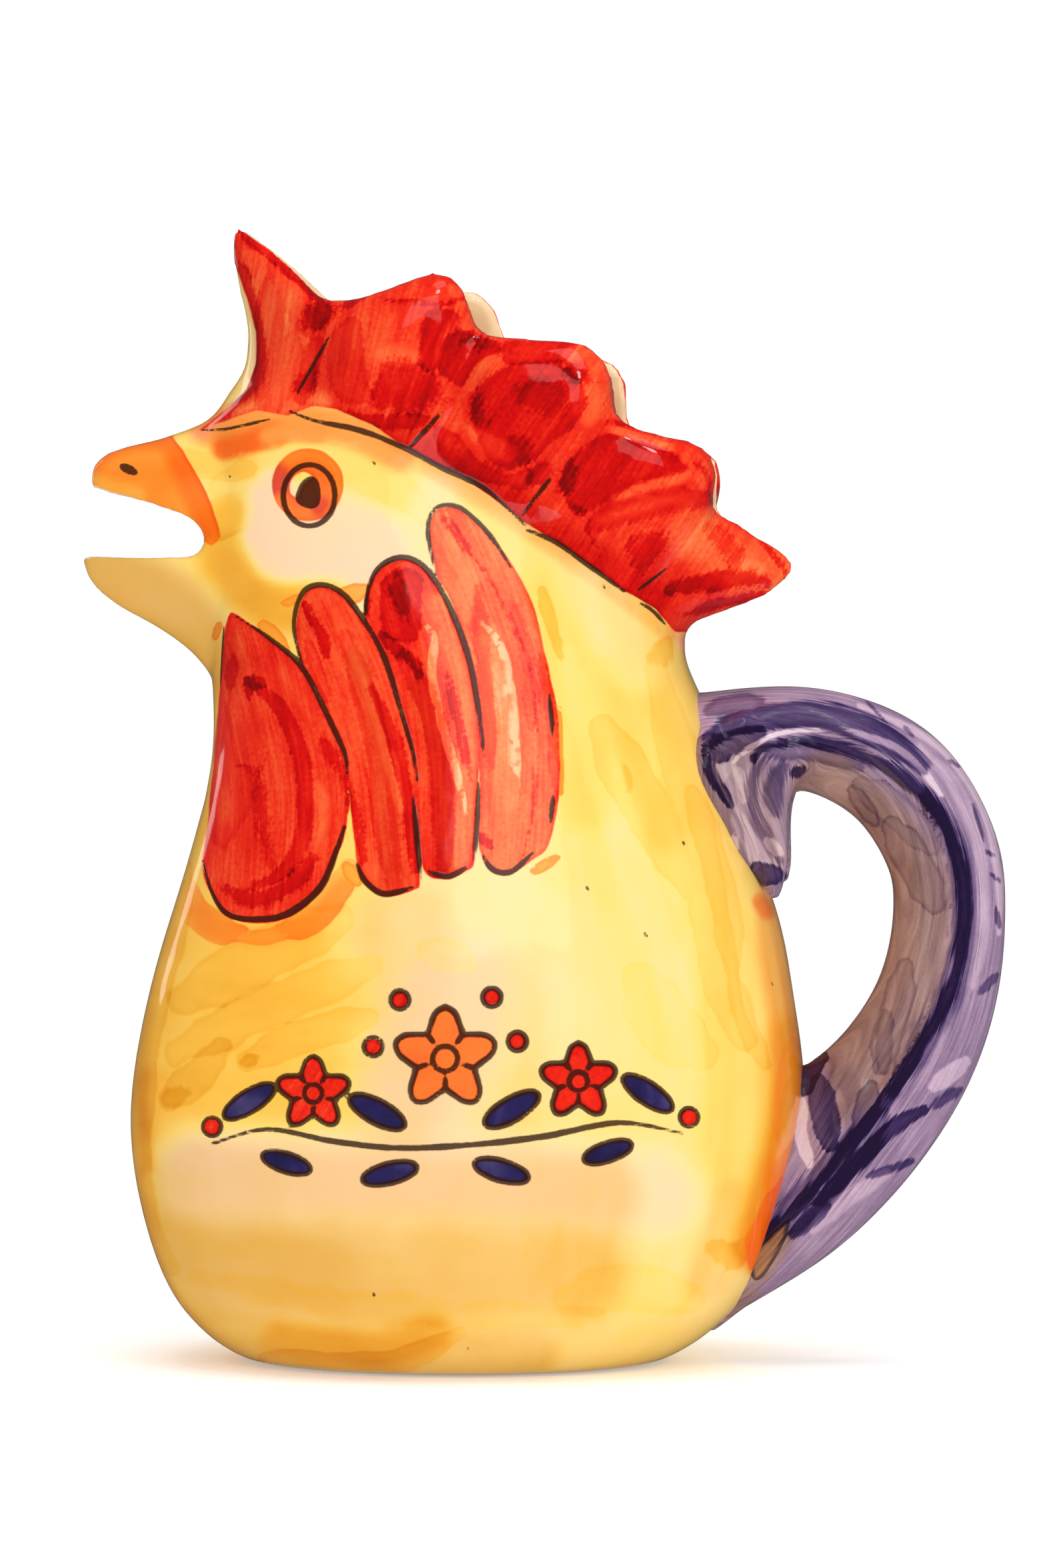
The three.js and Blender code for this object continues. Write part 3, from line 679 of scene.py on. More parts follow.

# %% [markdown]
# ## The body's paint, layer by layer
# The painter first washes yellow, deep to ochre in places, over the cream ground; painted shade then
# greys it under the chin and low on the belly. Then comes orange round the eye, the beak and the
# feathers, then red on the comb and the feathers, and brown lines last. The layers
# below keep that order. A wash is a soft thickness. Shapes and lines are distances in pixels, above
# zero inside. A coat holds crisp strokes: a distance, and the thickness that each stroke adds or, below
# zero, takes away.

# %% Yellow washes, and a painted reflection down the middle of the belly
paint = Canvas(body)
YELLOW_GROUND = 0.46
YELLOW_WASHES_AND_PAINTED_SHEEN = [
    ([(300, 1180), (330, 1500), (300, 1800)], 330, 0.70, 1.0),
    ([(940, 800), (960, 1100), (1010, 1400), (1020, 1750)], 330, 0.40, 1.0),
    ([(1020, 950), (1090, 1200), (1130, 1500), (1130, 1800)], 110, 0.56, 0.9),
    # Painted reflection: a pale, almost cream band down the middle of the belly.
    ([(700, 1370), (680, 1500), (640, 1620)], 150, 0.06, 0.95),
    ([(820, 1400), (860, 1600)], 110, 0.24, 0.8),
    ([(300, 1880), (600, 1900), (820, 1910)], 170, 0.34, 1.0),
    ([(860, 1900), (1040, 1880)], 140, 0.40, 0.9),
    ([(420, 2010), (560, 2025), (650, 2000)], 46, 0.78, 0.9),
    ([(300, 1760), (700, 1760), (980, 1790)], 100, 0.10, 1.0),
    ([(460, 820), (560, 830)], 130, 0.0, 1.0),
    ([(380, 770), (420, 850)], 80, 0.05, 0.8),
    ([(300, 720), (420, 690), (540, 700), (640, 760)], 62, 0.42, 1.0),
    ([(330, 800), (345, 770)], 46, 0.66, 1.0),
    ([(335, 840), (370, 890), (425, 906), (480, 890)], 60, 0.84, 0.9),
    ([(408, 735), (404, 800), (436, 838), (560, 834)], 46, 0.0, 1.0),
    ([(270, 690), (370, 702)], 30, 0.58, 0.9),
    ([(1196, 1560), (1186, 1700), (1140, 1860)], 64, 1.0, 0.9),
    ([(130, 860), (220, 900), (300, 960)], 90, 0.34, 1.0),
    ([(660, 740), (640, 790), (650, 850)], 50, 0.20, 0.9),
    ([(820, 900), (850, 1000), (880, 1200)], 70, 0.62, 0.7),
    ([(930, 1000), (1000, 1240)], 60, 0.70, 0.6),
    ([(870, 860), (960, 1000)], 60, 0.30, 0.8),
    ([(560, 1400), (640, 1360), (760, 1340)], 90, 0.30, 0.8),
    ([(212, 1420), (196, 1600), (202, 1740)], 38, 0.92, 1.0),
    ([(340, 380), (362, 470), (370, 560), (300, 640)], 26, 0.0, 1.0),
    ([(1030, 960), (1110, 930), (1190, 890)], 22, 0.0, 1.0),
]
paint.wash("yellow", YELLOW_WASHES_AND_PAINTED_SHEEN, YELLOW_GROUND)

# %% Yellow strokes, in two coats
YELLOW_STROKES = [
    ([(905, 1095), (940, 1160), (1000, 1255), (1040, 1330)], 38, 0.11, 1.5),
    ([(812, 885), (828, 940), (842, 985)], 11, 0.19, 1.5),
    ([(985, 1010), (1045, 1250), (1085, 1480), (1120, 1560)], 30, 0.07, 1.5),
    ([(960, 1470), (1000, 1540), (1050, 1580)], 46, 0.06, 1.5),
    ([(276, 1500), (390, 1434), (512, 1378)], 40, 0.09, 2.0),
    ([(371, 1592), (440, 1560), (553, 1526)], 26, 0.09, 1.5),
    ([(255, 1650), (292, 1618), (330, 1570)], 26, 0.10, 2.0),
    ([(640, 1425), (700, 1445)], 24, 0.12, 1.5),
    ([(395, 2036), (500, 2048), (600, 2042), (690, 2000)], 20, 0.12, 1.5),
    ([(850, 1950), (950, 1930), (1040, 1950)], 36, 0.08, 3.0),
    ([(300, 790), (350, 770), (365, 745)], 30, 0.11, 1.5),
    ([(330, 730), (440, 690), (560, 715), (640, 770)], 30, 0.06, 1.5),
    ([(1000, 965), (985, 1000)], 16, 0.22, 3.0),
    ([(1075, 1870), (1112, 1890)], 22, 0.22, 4.0),
]
SECOND_YELLOW_STROKES = [
    ([(850, 980), (935, 1250), (1010, 1480), (1046, 1600)], 30, -0.06, 1.5),
    ([(936, 1150), (946, 1185)], 8, 0.14, 2.0),
    ([(262, 1580), (400, 1512), (556, 1448)], 32, 0.08, 2.0),
    ([(366, 1594), (384, 1586)], 10, 0.14, 2.0),
    ([(252, 1650), (280, 1638)], 12, 0.11, 3.0),
    ([(300, 1915), (560, 1965), (900, 1975)], 22, 0.06, 4.0),
    ([(262, 692), (330, 700), (372, 704)], 21, 0.06, 1.3),
    ([(1040, 1190), (1085, 1340), (1098, 1450)], 22, 0.09, 1.5),
    ([(1100, 1460), (1122, 1540), (1148, 1598)], 16, 0.09, 1.5),
    ([(290, 1300), (285, 1390), (262, 1470), (242, 1560), (232, 1650), (228, 1730), (232, 1800),
      (248, 1860), (272, 1908), (240, 1905), (196, 1800), (176, 1600), (215, 1420),
      (262, 1300)], 0, 0.10, 1.5),
]
paint.coat("yellow_1", YELLOW_STROKES)
paint.coat("yellow_2", SECOND_YELLOW_STROKES)

# %% [markdown]
# ## An even breast
# The photograph doesn't show the bird from the front. A stroke that is laid out in its pixels smears
# where the clay turns away from the camera, so the strokes fade out there, and one even yellow runs
# round the breast from side to side.

# %% Breast
STROKE_FACING = (0.05, 0.35)
BREAST_FACING = (0.05, 0.5)
BREAST_EDGE_X = 400
BREAST_YELLOW = 0.74
paint.layers["yellow_2_amount"] *= fade(paint.facing, *STROKE_FACING)
breast = 1 - fade(paint.facing, *BREAST_FACING)
at_front = paint.places[:, 0] < BREAST_EDGE_X
paint.layers["yellow"] += (BREAST_YELLOW - paint.layers["yellow"]) * breast * at_front
print("points on the breast:", int((breast * at_front > 0.5).sum()))

# %% Painted shade, which greys the colours under the chin, low on the belly and at the comb's foot
BREAST_SHADE_LOSS = 0.5
# Painted shade: darker under the chin and throat, at the left edge, low on the belly and round the garland,
# in strips on the feathers, on the spike's front edge and along the comb's foot.
PAINTED_SHADE_WASHES = [
    ([(120, 850), (200, 880), (270, 930), (310, 1000)], 90, 0.85),
    ([(150, 900), (230, 950), (300, 1010)], 50, 1.0),
    ([(205, 1420), (190, 1600), (196, 1700)], 50, 0.6),
    ([(300, 1980), (500, 2030), (800, 2030)], 60, 0.5),
    ([(270, 1850), (450, 1885), (620, 1900)], 160, 0.86),
    ([(620, 1890), (860, 1900)], 140, 0.66),
    ([(380, 900), (440, 930)], 60, 0.35),
    ([(600, 1400), (620, 1500), (600, 1650)], 130, 0.42),
    ([(760, 1500), (760, 1650)], 110, 0.28),
    ([(290, 1770), (500, 1785), (900, 1790)], 100, 0.50),
    ([(535, 990), (570, 1120), (588, 1310)], 34, 0.55),
    ([(625, 1030), (658, 1150), (666, 1300)], 28, 0.60),
    ([(720, 890), (728, 1010), (737, 1150)], 20, 0.40),
    ([(346, 370), (374, 440), (390, 520), (384, 580), (350, 612)], 15, 0.70),
    ([(600, 415), (655, 412)], 26, 0.35),
    ([(600, 650), (700, 712), (800, 775), (900, 840)], 40, 0.55),
]
paint.wash("umber", PAINTED_SHADE_WASHES)
paint.layers["umber"] *= 1 - BREAST_SHADE_LOSS * breast

# %% Orange washes: the brow, the back and the halo of the feathers
BREAST_TOP_Y = 1000
BREAST_ORANGE_LOSS = 0.85
ORANGE_WASHES = [
    ([(310, 640), (420, 630), (520, 642), (600, 680)], 50, 0.60),
    ([(336, 674), (372, 665), (412, 653)], 30, 0.80),
    ([(405, 654), (440, 647), (476, 650)], 24, 0.62),
    ([(640, 700), (760, 775), (900, 870), (1000, 945)], 26, 0.40),
    ([(1100, 1020), (1060, 990), (1030, 950)], 38, 0.56),
    ([(1160, 1345), (1164, 1440), (1188, 1560)], 48, 0.50),
    ([(1150, 1368), (1140, 1352)], 18, 0.75),
    ([(1194, 1560), (1188, 1660), (1178, 1750)], 58, 0.42),
    ([(1180, 1770), (1160, 1820), (1136, 1880)], 56, 0.66),
    ([(1100, 1800), (1060, 1920)], 60, 0.35),
    ([(270, 1320), (316, 1388), (400, 1404), (470, 1384), (516, 1336)], 34, 0.24),
    ([(230, 1560), (225, 1700)], 40, 0.20),
    ([(340, 848), (385, 900), (440, 914)], 50, 0.26),
]
ORANGE_STROKES = [
    ([(262, 1300), (288, 1362), (330, 1394), (362, 1400)], 24, 0.42, 1.5),
    ([(420, 1398), (470, 1378), (505, 1336), (524, 1300)], 22, 0.40, 1.5),
    ([(340, 1400), (390, 1406), (440, 1398)], 12, 0.30, 1.5),
    ([(1190, 1570), (1186, 1640), (1180, 1720)], 22, 0.06, 2.0),
    ([(1178, 1780), (1156, 1836), (1132, 1890)], 24, 0.13, 2.0),
]
paint.wash("orange", ORANGE_WASHES)
paint.coat("orange_1", ORANGE_STROKES)
below_throat = at_front & (paint.places[:, 1] > BREAST_TOP_Y)
for layer in ("orange", "orange_1_amount"):
    paint.layers[layer] *= 1 - BREAST_ORANGE_LOSS * breast * below_throat

# %% Solid orange: the beak, the eye and dabs between the feathers
BEAK_HOOD = [(40, 560), (200, 600), (257, 652), (277, 680), (295, 710), (309, 738), (320, 764), (328, 788),
             (331, 808), (318, 820), (290, 802), (40, 800)]
EYE_PATCH = ellipse(462, 727, 54, 55)
EYE_WHITE = [(434, 736), (436, 722), (445, 712), (457, 708), (469, 715), (460, 722), (452, 733), (446, 746),
             (438, 743)]
ORANGE_DABS = [
    ([(520, 1300), (535, 1322)], 13),
    ([(800, 1308), (836, 1286)], 9),
    ([(330, 935), (322, 960)], 13),
    ([(425, 906), (450, 896)], 9),
    ([(395, 938), (425, 975)], 18),
    ([(838, 1060), (842, 1190)], 6),
    ([(505, 900), (545, 885)], 16),
    ([(122, 824), (168, 829)], 4),
]
DAB_TAPER = 0.3
ORANGE_GROUND = 0.34
SOLID_ORANGE_WASHES = [
    ([(150, 690), (250, 690)], 130, 0.50),
    ([(262, 660), (290, 725), (318, 790)], 34, 0.70),
    ([(130, 690), (190, 655), (250, 650)], 34, 0.66),
    ([(140, 730), (200, 745)], 26, 0.30),
    ([(462, 727), (463, 728)], 80, 0.74),
    ([(470, 775), (455, 790)], 30, 0.60),
    ([(419, 712), (416, 725)], 26, 0.98),
    ([(484, 756), (478, 764)], 17, 0.95),
]
paint.shape("orange_shape", BEAK_HOOD, straight=True)
paint.shape("orange_shape", EYE_PATCH)
for points, width in ORANGE_DABS:
    paint.stroke("orange_shape", points, width, DAB_TAPER)
paint.spare("orange_shape", EYE_WHITE)
paint.wash("orange_body", SOLID_ORANGE_WASHES, ORANGE_GROUND)

# %% Red shapes: the comb and four hackle feathers
COMB = [
    (345, 352), (352, 398), (372, 450), (384, 500), (384, 545), (369, 585), (340, 612), (300, 645),
    (330, 634), (385, 616), (432, 624), (470, 609), (505, 614), (557, 636), (600, 666), (640, 690),
    (704, 722), (787, 784), (834, 812), (879, 844), (937, 886), (985, 914), (1012, 948), (1038, 948),
    (1064, 932), (1109, 914), (1155, 900), (1186, 884), (1215, 850), (1300, 700), (1250, 250), (360, 250),
]
FEATHERS = [
    [(340, 930), (331, 1006), (323, 1107), (312, 1226), (304, 1300), (319, 1345), (343, 1376), (386, 1386),
     (433, 1376), (481, 1338), (507, 1280), (520, 1240), (522, 1154), (517, 1130), (491, 1073), (453, 1001),
     (405, 958), (355, 922)],
    [(453, 997), (444, 939), (456, 893), (481, 879), (515, 893), (548, 936), (577, 989), (601, 1064),
     (620, 1130), (626, 1180), (625, 1250), (631, 1322), (620, 1336), (577, 1345), (548, 1326),
     (536, 1298), (530, 1250), (522, 1180), (505, 1110), (478, 1040)],
    [(548, 945), (549, 891), (567, 853), (601, 838), (634, 850), (663, 889), (687, 941), (706, 999),
     (718, 1064), (722, 1126), (718, 1174), (716, 1226), (712, 1294), (701, 1306), (673, 1318),
     (638, 1310), (627, 1250), (622, 1180), (613, 1110), (594, 1040), (566, 990)],
    [(654, 863), (644, 796), (654, 764), (687, 762), (720, 788), (748, 818), (775, 856), (800, 906),
     (820, 987), (837, 1073), (840, 1178), (825, 1265), (799, 1290), (768, 1310), (740, 1308),
     (721, 1282), (717, 1230), (721, 1140), (716, 1060), (702, 985), (684, 920), (664, 880)],
]
print("feathers:", len(FEATHERS))

# %% Streaks along the comb and the feathers
FEATHER_SPINES = [
    [(350, 930), (385, 1060), (410, 1200), (400, 1370)],
    [(478, 890), (530, 1010), (572, 1150), (588, 1330)],
    [(598, 845), (640, 960), (672, 1120), (678, 1310)],
    [(672, 770), (730, 900), (778, 1080), (770, 1300)],
]
FEATHER_THICKNESS = [0.56, 0.49, 0.56, 0.35]
FEATHER_MARGIN = 12
FIRST_SLICE, SLICE_STEP = 7.0, 3
COMB_SPINE = [(300, 500), (620, 560), (850, 700), (1150, 900)]
COMB_THICKNESS = 0.60


def along_spine(places, spine):
    """Each place's millimetres along a spine and across it, for the streaks of the brush."""
    line = smooth_line(spine)
    gap, along = to_line(places, line)
    length = np.linalg.norm(np.diff(line, axis=0), axis=1).sum()
    at = np.clip((along * (len(line) - 1)).astype(int), 0, len(line) - 2)
    step, offset = line[at + 1] - line[at], places - line[at]
    side = np.sign(step[:, 0] * offset[:, 1] - step[:, 1] * offset[:, 0])
    pixel_in_mm = PIXEL * 1000
    return along * length * pixel_in_mm, side * gap * pixel_in_mm


paint.layer("red", COMB_THICKNESS)
paint.shape("red_shape", COMB, straight=True)
run, off = along_spine(paint.places, COMB_SPINE)
grain = np.stack([off, run, np.zeros(len(run))], axis=1)
for number, (outline, spine, thickness) in enumerate(zip(FEATHERS, FEATHER_SPINES, FEATHER_THICKNESS)):
    before = paint.layers["red_shape"].copy()
    chosen, depth = paint.shape("red_shape", outline)
    owned = chosen[(depth > before[chosen]) & (depth > -FEATHER_MARGIN)]
    paint.layers["red"][owned] = thickness
    run, off = along_spine(paint.places[owned], spine)
    own_slice = FIRST_SLICE + SLICE_STEP * number
    grain[owned] = np.stack([run, off, np.full(len(owned), own_slice)], axis=1)
paint.layers["grain"] = grain

# %% Red washes, and no red where the breast turns away
TURNED_FACING = 0.08
HEAD_BOTTOM_Y = 900
turned = (paint.facing < TURNED_FACING) & (paint.places[:, 1] > HEAD_BOTTOM_Y)
paint.layers["red_shape"][turned] = -FAR
RED_WASHES = [
    ([(640, 690), (760, 765), (860, 830), (980, 905)], 46, 0.75),
    ([(330, 630), (400, 615), (480, 605)], 26, 0.34),
    ([(1040, 800), (1100, 840), (1160, 860)], 60, 0.38),
    ([(300, 645), (330, 630)], 30, 0.52),
    ([(656, 905), (684, 1000), (698, 1100), (698, 1220), (690, 1290)], 24, 0.33),
    ([(735, 960), (756, 1060), (760, 1200)], 26, 0.26),
    ([(385, 400), (420, 480), (430, 580)], 60, 0.42),
    ([(560, 500), (600, 540)], 60, 0.50),
]
paint.wash("red", RED_WASHES)

# %% The comb's first coat of strokes
COMB_FIRST_COAT = [
    ([(405, 430), (402, 520), (396, 600)], 24, 0.06, 1.9),
    ([(440, 505), (428, 560), (415, 605)], 20, 0.04, 1.9),
    ([(398, 385), (430, 408), (465, 432), (495, 458), (500, 472), (482, 494), (462, 506), (445, 494),
      (422, 460), (410, 425)], 0, 0.04, 1.9),
    ([(356, 352), (392, 378), (394, 390), (380, 420), (364, 402), (352, 376)], 0, 0.03, 1.9),
    ([(476, 512), (462, 560), (452, 598)], 16, 0.10, 2.4),
    ([(565, 446), (582, 428), (604, 414), (632, 405), (655, 405), (676, 415), (690, 434), (697, 446),
      (680, 454), (640, 457), (595, 455)], 0, -0.03, 1.9),
    ([(642, 466), (678, 464), (688, 476), (668, 502), (655, 532), (650, 562), (628, 546),
      (632, 500)], 0, 0.19, 3.2),
    ([(505, 490), (540, 478), (548, 560), (562, 600), (522, 606), (500, 586), (489, 550),
      (492, 515)], 0, 0.05, 1.9),
    ([(520, 624), (580, 634), (640, 628)], 11, 0.16, 3.2),
    ([(668, 506), (700, 496), (724, 502), (752, 514), (750, 530), (722, 542), (702, 566), (690, 580),
      (668, 566), (653, 550), (654, 526)], 0, 0.20, 2.1),
    ([(755, 513), (800, 510), (852, 508), (866, 516), (846, 542), (800, 545), (757, 547)], 0, 0.12, 1.9),
    ([(705, 622), (712, 592), (734, 566), (757, 550), (800, 547), (842, 549), (872, 572), (880, 600),
      (862, 638), (830, 662), (802, 690), (778, 700), (748, 700), (722, 672), (711, 644)], 0, 0.16, 2.6),
    ([(652, 642), (690, 652), (716, 690), (760, 712), (795, 702), (790, 734), (750, 728), (700, 716),
      (664, 692)], 0, 0.10, 1.9),
    ([(841, 722), (850, 696), (880, 667), (912, 652), (950, 662), (986, 668), (1020, 690), (1032, 706),
      (1010, 712), (960, 726), (920, 746), (892, 762), (868, 770), (850, 756)], 0, 0.17, 2.4),
    ([(885, 792), (930, 770), (1000, 752), (1055, 748)], 20, 0.07, 3.2),
    ([(1005, 884), (1060, 874), (1110, 868), (1150, 874)], 13, 0.22, 4.0),
    ([(1075, 770), (1100, 780), (1140, 802), (1168, 836), (1160, 846), (1120, 820),
      (1080, 800)], 0, -0.04, 2.4),
]
paint.coat("red_1", COMB_FIRST_COAT)

# %% The comb's darker and lighter strokes, with painted glints on its lobes
COMB_DARK_COAT = [
    ([(347, 358), (351, 392), (372, 432), (388, 490), (392, 540), (384, 576), (360, 602),
      (334, 626)], 7.5, 0.19, 2.4),
    ([(356, 346), (400, 380), (440, 414), (480, 447), (500, 466)], 6, 0.22, 2.4),
    ([(360, 398), (372, 418)], 9, 0.23, 2.4),
    ([(462, 486), (480, 474), (500, 464)], 17, 0.23, 4.8),
    ([(450, 580), (470, 560)], 14, 0.14, 4.8),
    ([(515, 460), (545, 441), (578, 420)], 7, 0.22, 2.4),
    ([(575, 450), (620, 453), (660, 457), (682, 452), (697, 446)], 3.6, 0.20, 1.9),
    ([(575, 592), (610, 578), (642, 590)], 38, 0.15, 8.0),
    ([(705, 512), (745, 520)], 12, 0.14, 6.4),
    ([(757, 546), (800, 545), (850, 542)], 2.4, 0.14, 1.9),
    ([(755, 512), (756, 546)], 2.0, 0.12, 1.9),
    ([(855, 556), (882, 572)], 12, 0.19, 4.8),
    ([(712, 600), (722, 640)], 14, 0.13, 6.4),
    ([(790, 590), (840, 600)], 28, 0.06, 8.0),
    ([(770, 660), (790, 690)], 16, 0.12, 6.4),
    ([(800, 722), (826, 702)], 12, 0.14, 3.2),
    ([(910, 634), (950, 637), (1000, 647), (1040, 657)], 5, 0.20, 2.4),
    ([(850, 736), (856, 700)], 14, 0.13, 6.4),
    ([(1040, 690), (1062, 715), (1066, 755)], 4, 0.17, 2.4),
    ([(942, 816), (966, 801), (1000, 799), (1000, 816), (985, 840), (960, 857), (946, 842)], 0, 0.13, 6.0),
    ([(850, 760), (878, 772), (882, 800), (904, 826)], 4, 0.12, 2.4),
    ([(1062, 790), (1098, 822), (1106, 848)], 14, 0.12, 5.0),
    ([(1140, 810), (1172, 848), (1180, 872)], 4.5, 0.20, 2.4),
    ([(1026, 922), (1080, 906), (1150, 890)], 7, 0.23, 2.4),
]
COMB_LIGHT_AND_GLINT_COAT = [
    ([(690, 470), (666, 500), (653, 540), (656, 562)], 5, -0.18, 2.6),
    ([(682, 460), (697, 451), (720, 494), (702, 500), (686, 482)], 0, -0.13, 1.7),
    ([(570, 530), (630, 538)], 12, -0.13, 5.2),
    ([(676, 432), (690, 444)], 9, -0.16, 2.6),
    ([(694, 584), (736, 548), (756, 536)], 18, -0.09, 3.9),
    ([(668, 596), (680, 640)], 22, -0.09, 5.2),
    ([(880, 520), (906, 560), (914, 620)], 16, -0.09, 2.6),
    ([(892, 575), (880, 630)], 20, -0.16, 6.5),
    ([(705, 645), (740, 668), (765, 680)], 14, -0.20, 6.5),
    ([(780, 556), (830, 552)], 8, -0.09, 5.2),
    # Painted glints: pale patches on the lips of the third and fourth lobes.
    ([(850, 536), (875, 526), (895, 530)], 12, -0.22, 2.6),
    ([(910, 642), (935, 648), (970, 660), (1010, 672)], 6, -0.20, 2.0),
    ([(925, 748), (965, 732), (1030, 712)], 9, -0.18, 5.2),
    ([(900, 780), (960, 760), (1040, 742)], 6, -0.13, 5.2),
    # Painted reflection: a pale pink veil on the fourth lobe's right facet.
    ([(1012, 664), (1044, 676), (1066, 704), (1058, 740), (1040, 716), (1026, 690)], 0, -0.07, 2.0),
    ([(1110, 850), (1140, 856)], 12, -0.11, 5.2),
]
paint.coat("red_2", COMB_DARK_COAT)
paint.coat("red_3", COMB_LIGHT_AND_GLINT_COAT)

# %% The feathers' strokes, in the same coats
FEATHER_FIRST_COAT = [
    ([(372, 1022), (420, 1062), (450, 1130), (459, 1200), (450, 1268), (420, 1312),
      (380, 1330)], 12, 0.16, 2.1),
    ([(345, 1032), (334, 1100), (324, 1200), (318, 1258), (334, 1275), (350, 1260), (372, 1220),
      (386, 1178), (388, 1152), (356, 1140), (350, 1090)], 0, 0.04, 1.9),
    ([(342, 940), (368, 950), (376, 980), (352, 1000)], 0, -0.04, 1.9),
    ([(520, 955), (560, 1090), (580, 1250), (590, 1330)], 20, 0.04, 2.1),
    ([(462, 960), (476, 1010), (492, 1050)], 10, 0.04, 1.9),
    ([(573, 870), (600, 852), (630, 858), (635, 885), (632, 930), (627, 960), (600, 962), (576, 950),
      (570, 905)], 0, 0.19, 2.1),
    ([(605, 985), (650, 1080), (665, 1200), (666, 1300)], 18, 0.10, 2.1),
    ([(672, 1010), (692, 1100), (706, 1170)], 7, 0.24, 2.0),
    ([(718, 880), (726, 1000), (736, 1150)], 13, 0.10, 2.4),
    ([(812, 980), (830, 1100), (834, 1200)], 9, 0.09, 2.4),
    ([(770, 900), (790, 1000), (800, 1100)], 9, 0.07, 2.4),
]
FEATHER_DARK_COAT = [
    ([(364, 1020), (384, 1013), (402, 1028), (380, 1038), (372, 1050)], 0, 0.24, 1.9),
    ([(340, 1334), (380, 1350), (430, 1330), (470, 1288)], 13, 0.19, 3.2),
    ([(352, 985), (345, 1030)], 9, 0.17, 2.4),
    ([(356, 1150), (386, 1155), (402, 1130)], 4, 0.14, 1.9),
    ([(392, 1160), (396, 1240), (408, 1300)], 9, 0.12, 4.8),
    ([(484, 1110), (506, 1150)], 10, 0.16, 3.2),
    ([(457, 905), (470, 930), (484, 955), (490, 985)], 8, 0.24, 2.1),
    ([(556, 1030), (584, 1090), (602, 1150), (616, 1220), (622, 1305)], 11, 0.20, 2.4),
    ([(505, 1130), (530, 1215), (545, 1290)], 8, 0.16, 3.2),
    ([(572, 952), (600, 978), (624, 998), (628, 1018)], 9, 0.26, 2.1),
    ([(541, 882), (549, 918)], 8, 0.24, 2.4),
    ([(596, 870), (606, 915)], 16, 0.13, 6.4),
    ([(662, 770), (684, 800), (704, 832)], 6, 0.26, 2.4),
    ([(690, 800), (740, 880), (780, 960), (801, 1050), (802, 1200), (784, 1290)], 2.6, 0.17, 1.9),
    ([(716, 1252), (738, 1270)], 8, 0.32, 2.4),
]
FEATHER_LIGHT_COAT = [
    ([(475, 1180), (482, 1232), (452, 1300)], 12, -0.11, 3.9),
    ([(350, 1060), (345, 1180), (330, 1262)], 8, -0.05, 5.2),
    ([(420, 1000), (470, 1080)], 7, -0.07, 5.2),
    ([(500, 915), (556, 1050), (580, 1150)], 6, -0.09, 3.9),
    ([(586, 1130), (602, 1215)], 9, -0.13, 2.0),
    ([(545, 1255), (565, 1320)], 8, -0.07, 3.9),
    ([(636, 935), (652, 960), (648, 1010), (664, 1090), (686, 1160), (700, 1222)], 7, -0.34, 1.3),
    ([(722, 932), (746, 960), (762, 1002), (774, 1100), (776, 1185)], 6, -0.32, 1.2),
    ([(672, 800), (684, 850)], 10, -0.10, 3.0),
    ([(706, 880), (700, 930)], 8, -0.12, 3.0),
    ([(700, 850), (690, 900)], 10, -0.09, 3.9),
    ([(745, 1000), (752, 1150), (756, 1240)], 14, -0.05, 3.9),
]
paint.coat("red_1", FEATHER_FIRST_COAT)
paint.coat("red_2", FEATHER_DARK_COAT)
paint.coat("red_3", FEATHER_LIGHT_COAT)

# %% The garland and the brown lines
FLOWER_REACH, FLOWER_THICKNESS = 160, 0.66
BERRY_FILL = 13
for layer, outline in flower_outlines:
    paint.shape(layer, outline)
flower_heart = FLOWERS[0][:2]
paint.wash("orange_body", [([flower_heart, flower_heart], FLOWER_REACH, FLOWER_THICKNESS)])
for leaf in LEAVES:
    paint.shape("navy_shape", ellipse(*leaf))
for x, y in BERRIES:
    paint.shape("red_shape", ellipse(x, y, BERRY_FILL))
for line, width, taper in lines:
    paint.stroke("line", line, width, taper)
for dot in (PUPIL, NOSTRIL):
    paint.shape("line", dot)

# %% The inside, the rims and the bare foot
LINE_RIM = -0.1
FOOT_SLOPE = (0.75, 0.95)
FOOT_RIM = (-0.0016, -0.0006)
paint.layers["outer"] = outwardness(body.data)
paint.layers["line"][paint.layers["outer"] < LINE_RIM] = -FAR
body_points, body_normals = points_of(body.data)
looks_down = fade(-body_normals[:, 2], *FOOT_SLOPE)
paint.layers["bare"] = looks_down * fade(-body_points[:, 2], *FOOT_RIM)
paint.store()

# %% [markdown]
# ## The handle's paint
# The handle is painted wet in wet with one violet grey: a dark ridge line follows the strap, pale
# lilac lies on its back, and rounded beige strokes lie on its flat side. The same brush is used. The
# streaks follow the middle line of the strap, and on the root its own folds.

# %% Streaks along the strap and its root
violet = Canvas(handle)
STRAP = [(1063, 1112), (1150, 1098), (1240, 1105), (1310, 1128), (1370, 1180), (1410, 1260), (1424, 1350),
         (1412, 1440), (1385, 1530), (1340, 1610), (1280, 1690), (1220, 1770), (1160, 1850), (1090, 1940)]
ROOT_SPINE = [(1120, 1080), (1094, 1140), (1106, 1210), (1134, 1270), (1160, 1330)]
ROOT_LOW, ROOT_HIGH = (1040, 1128), (1196, 1345)
ROOT_SLICE = 4.0
BACK_SCALE = 900
strap_points, _ = points_of(handle.data)
across_back = BACK_SCALE * np.abs(strap_points[:, 1])
on_root = ((violet.places > ROOT_LOW) & (violet.places < ROOT_HIGH)).all(axis=1)
run, off = np.where(on_root, along_spine(violet.places, ROOT_SPINE), along_spine(violet.places, STRAP))
violet.layers["grain"] = np.stack([run, off + across_back, ROOT_SLICE * on_root], axis=1)
print("points on the root:", int(on_root.sum()))

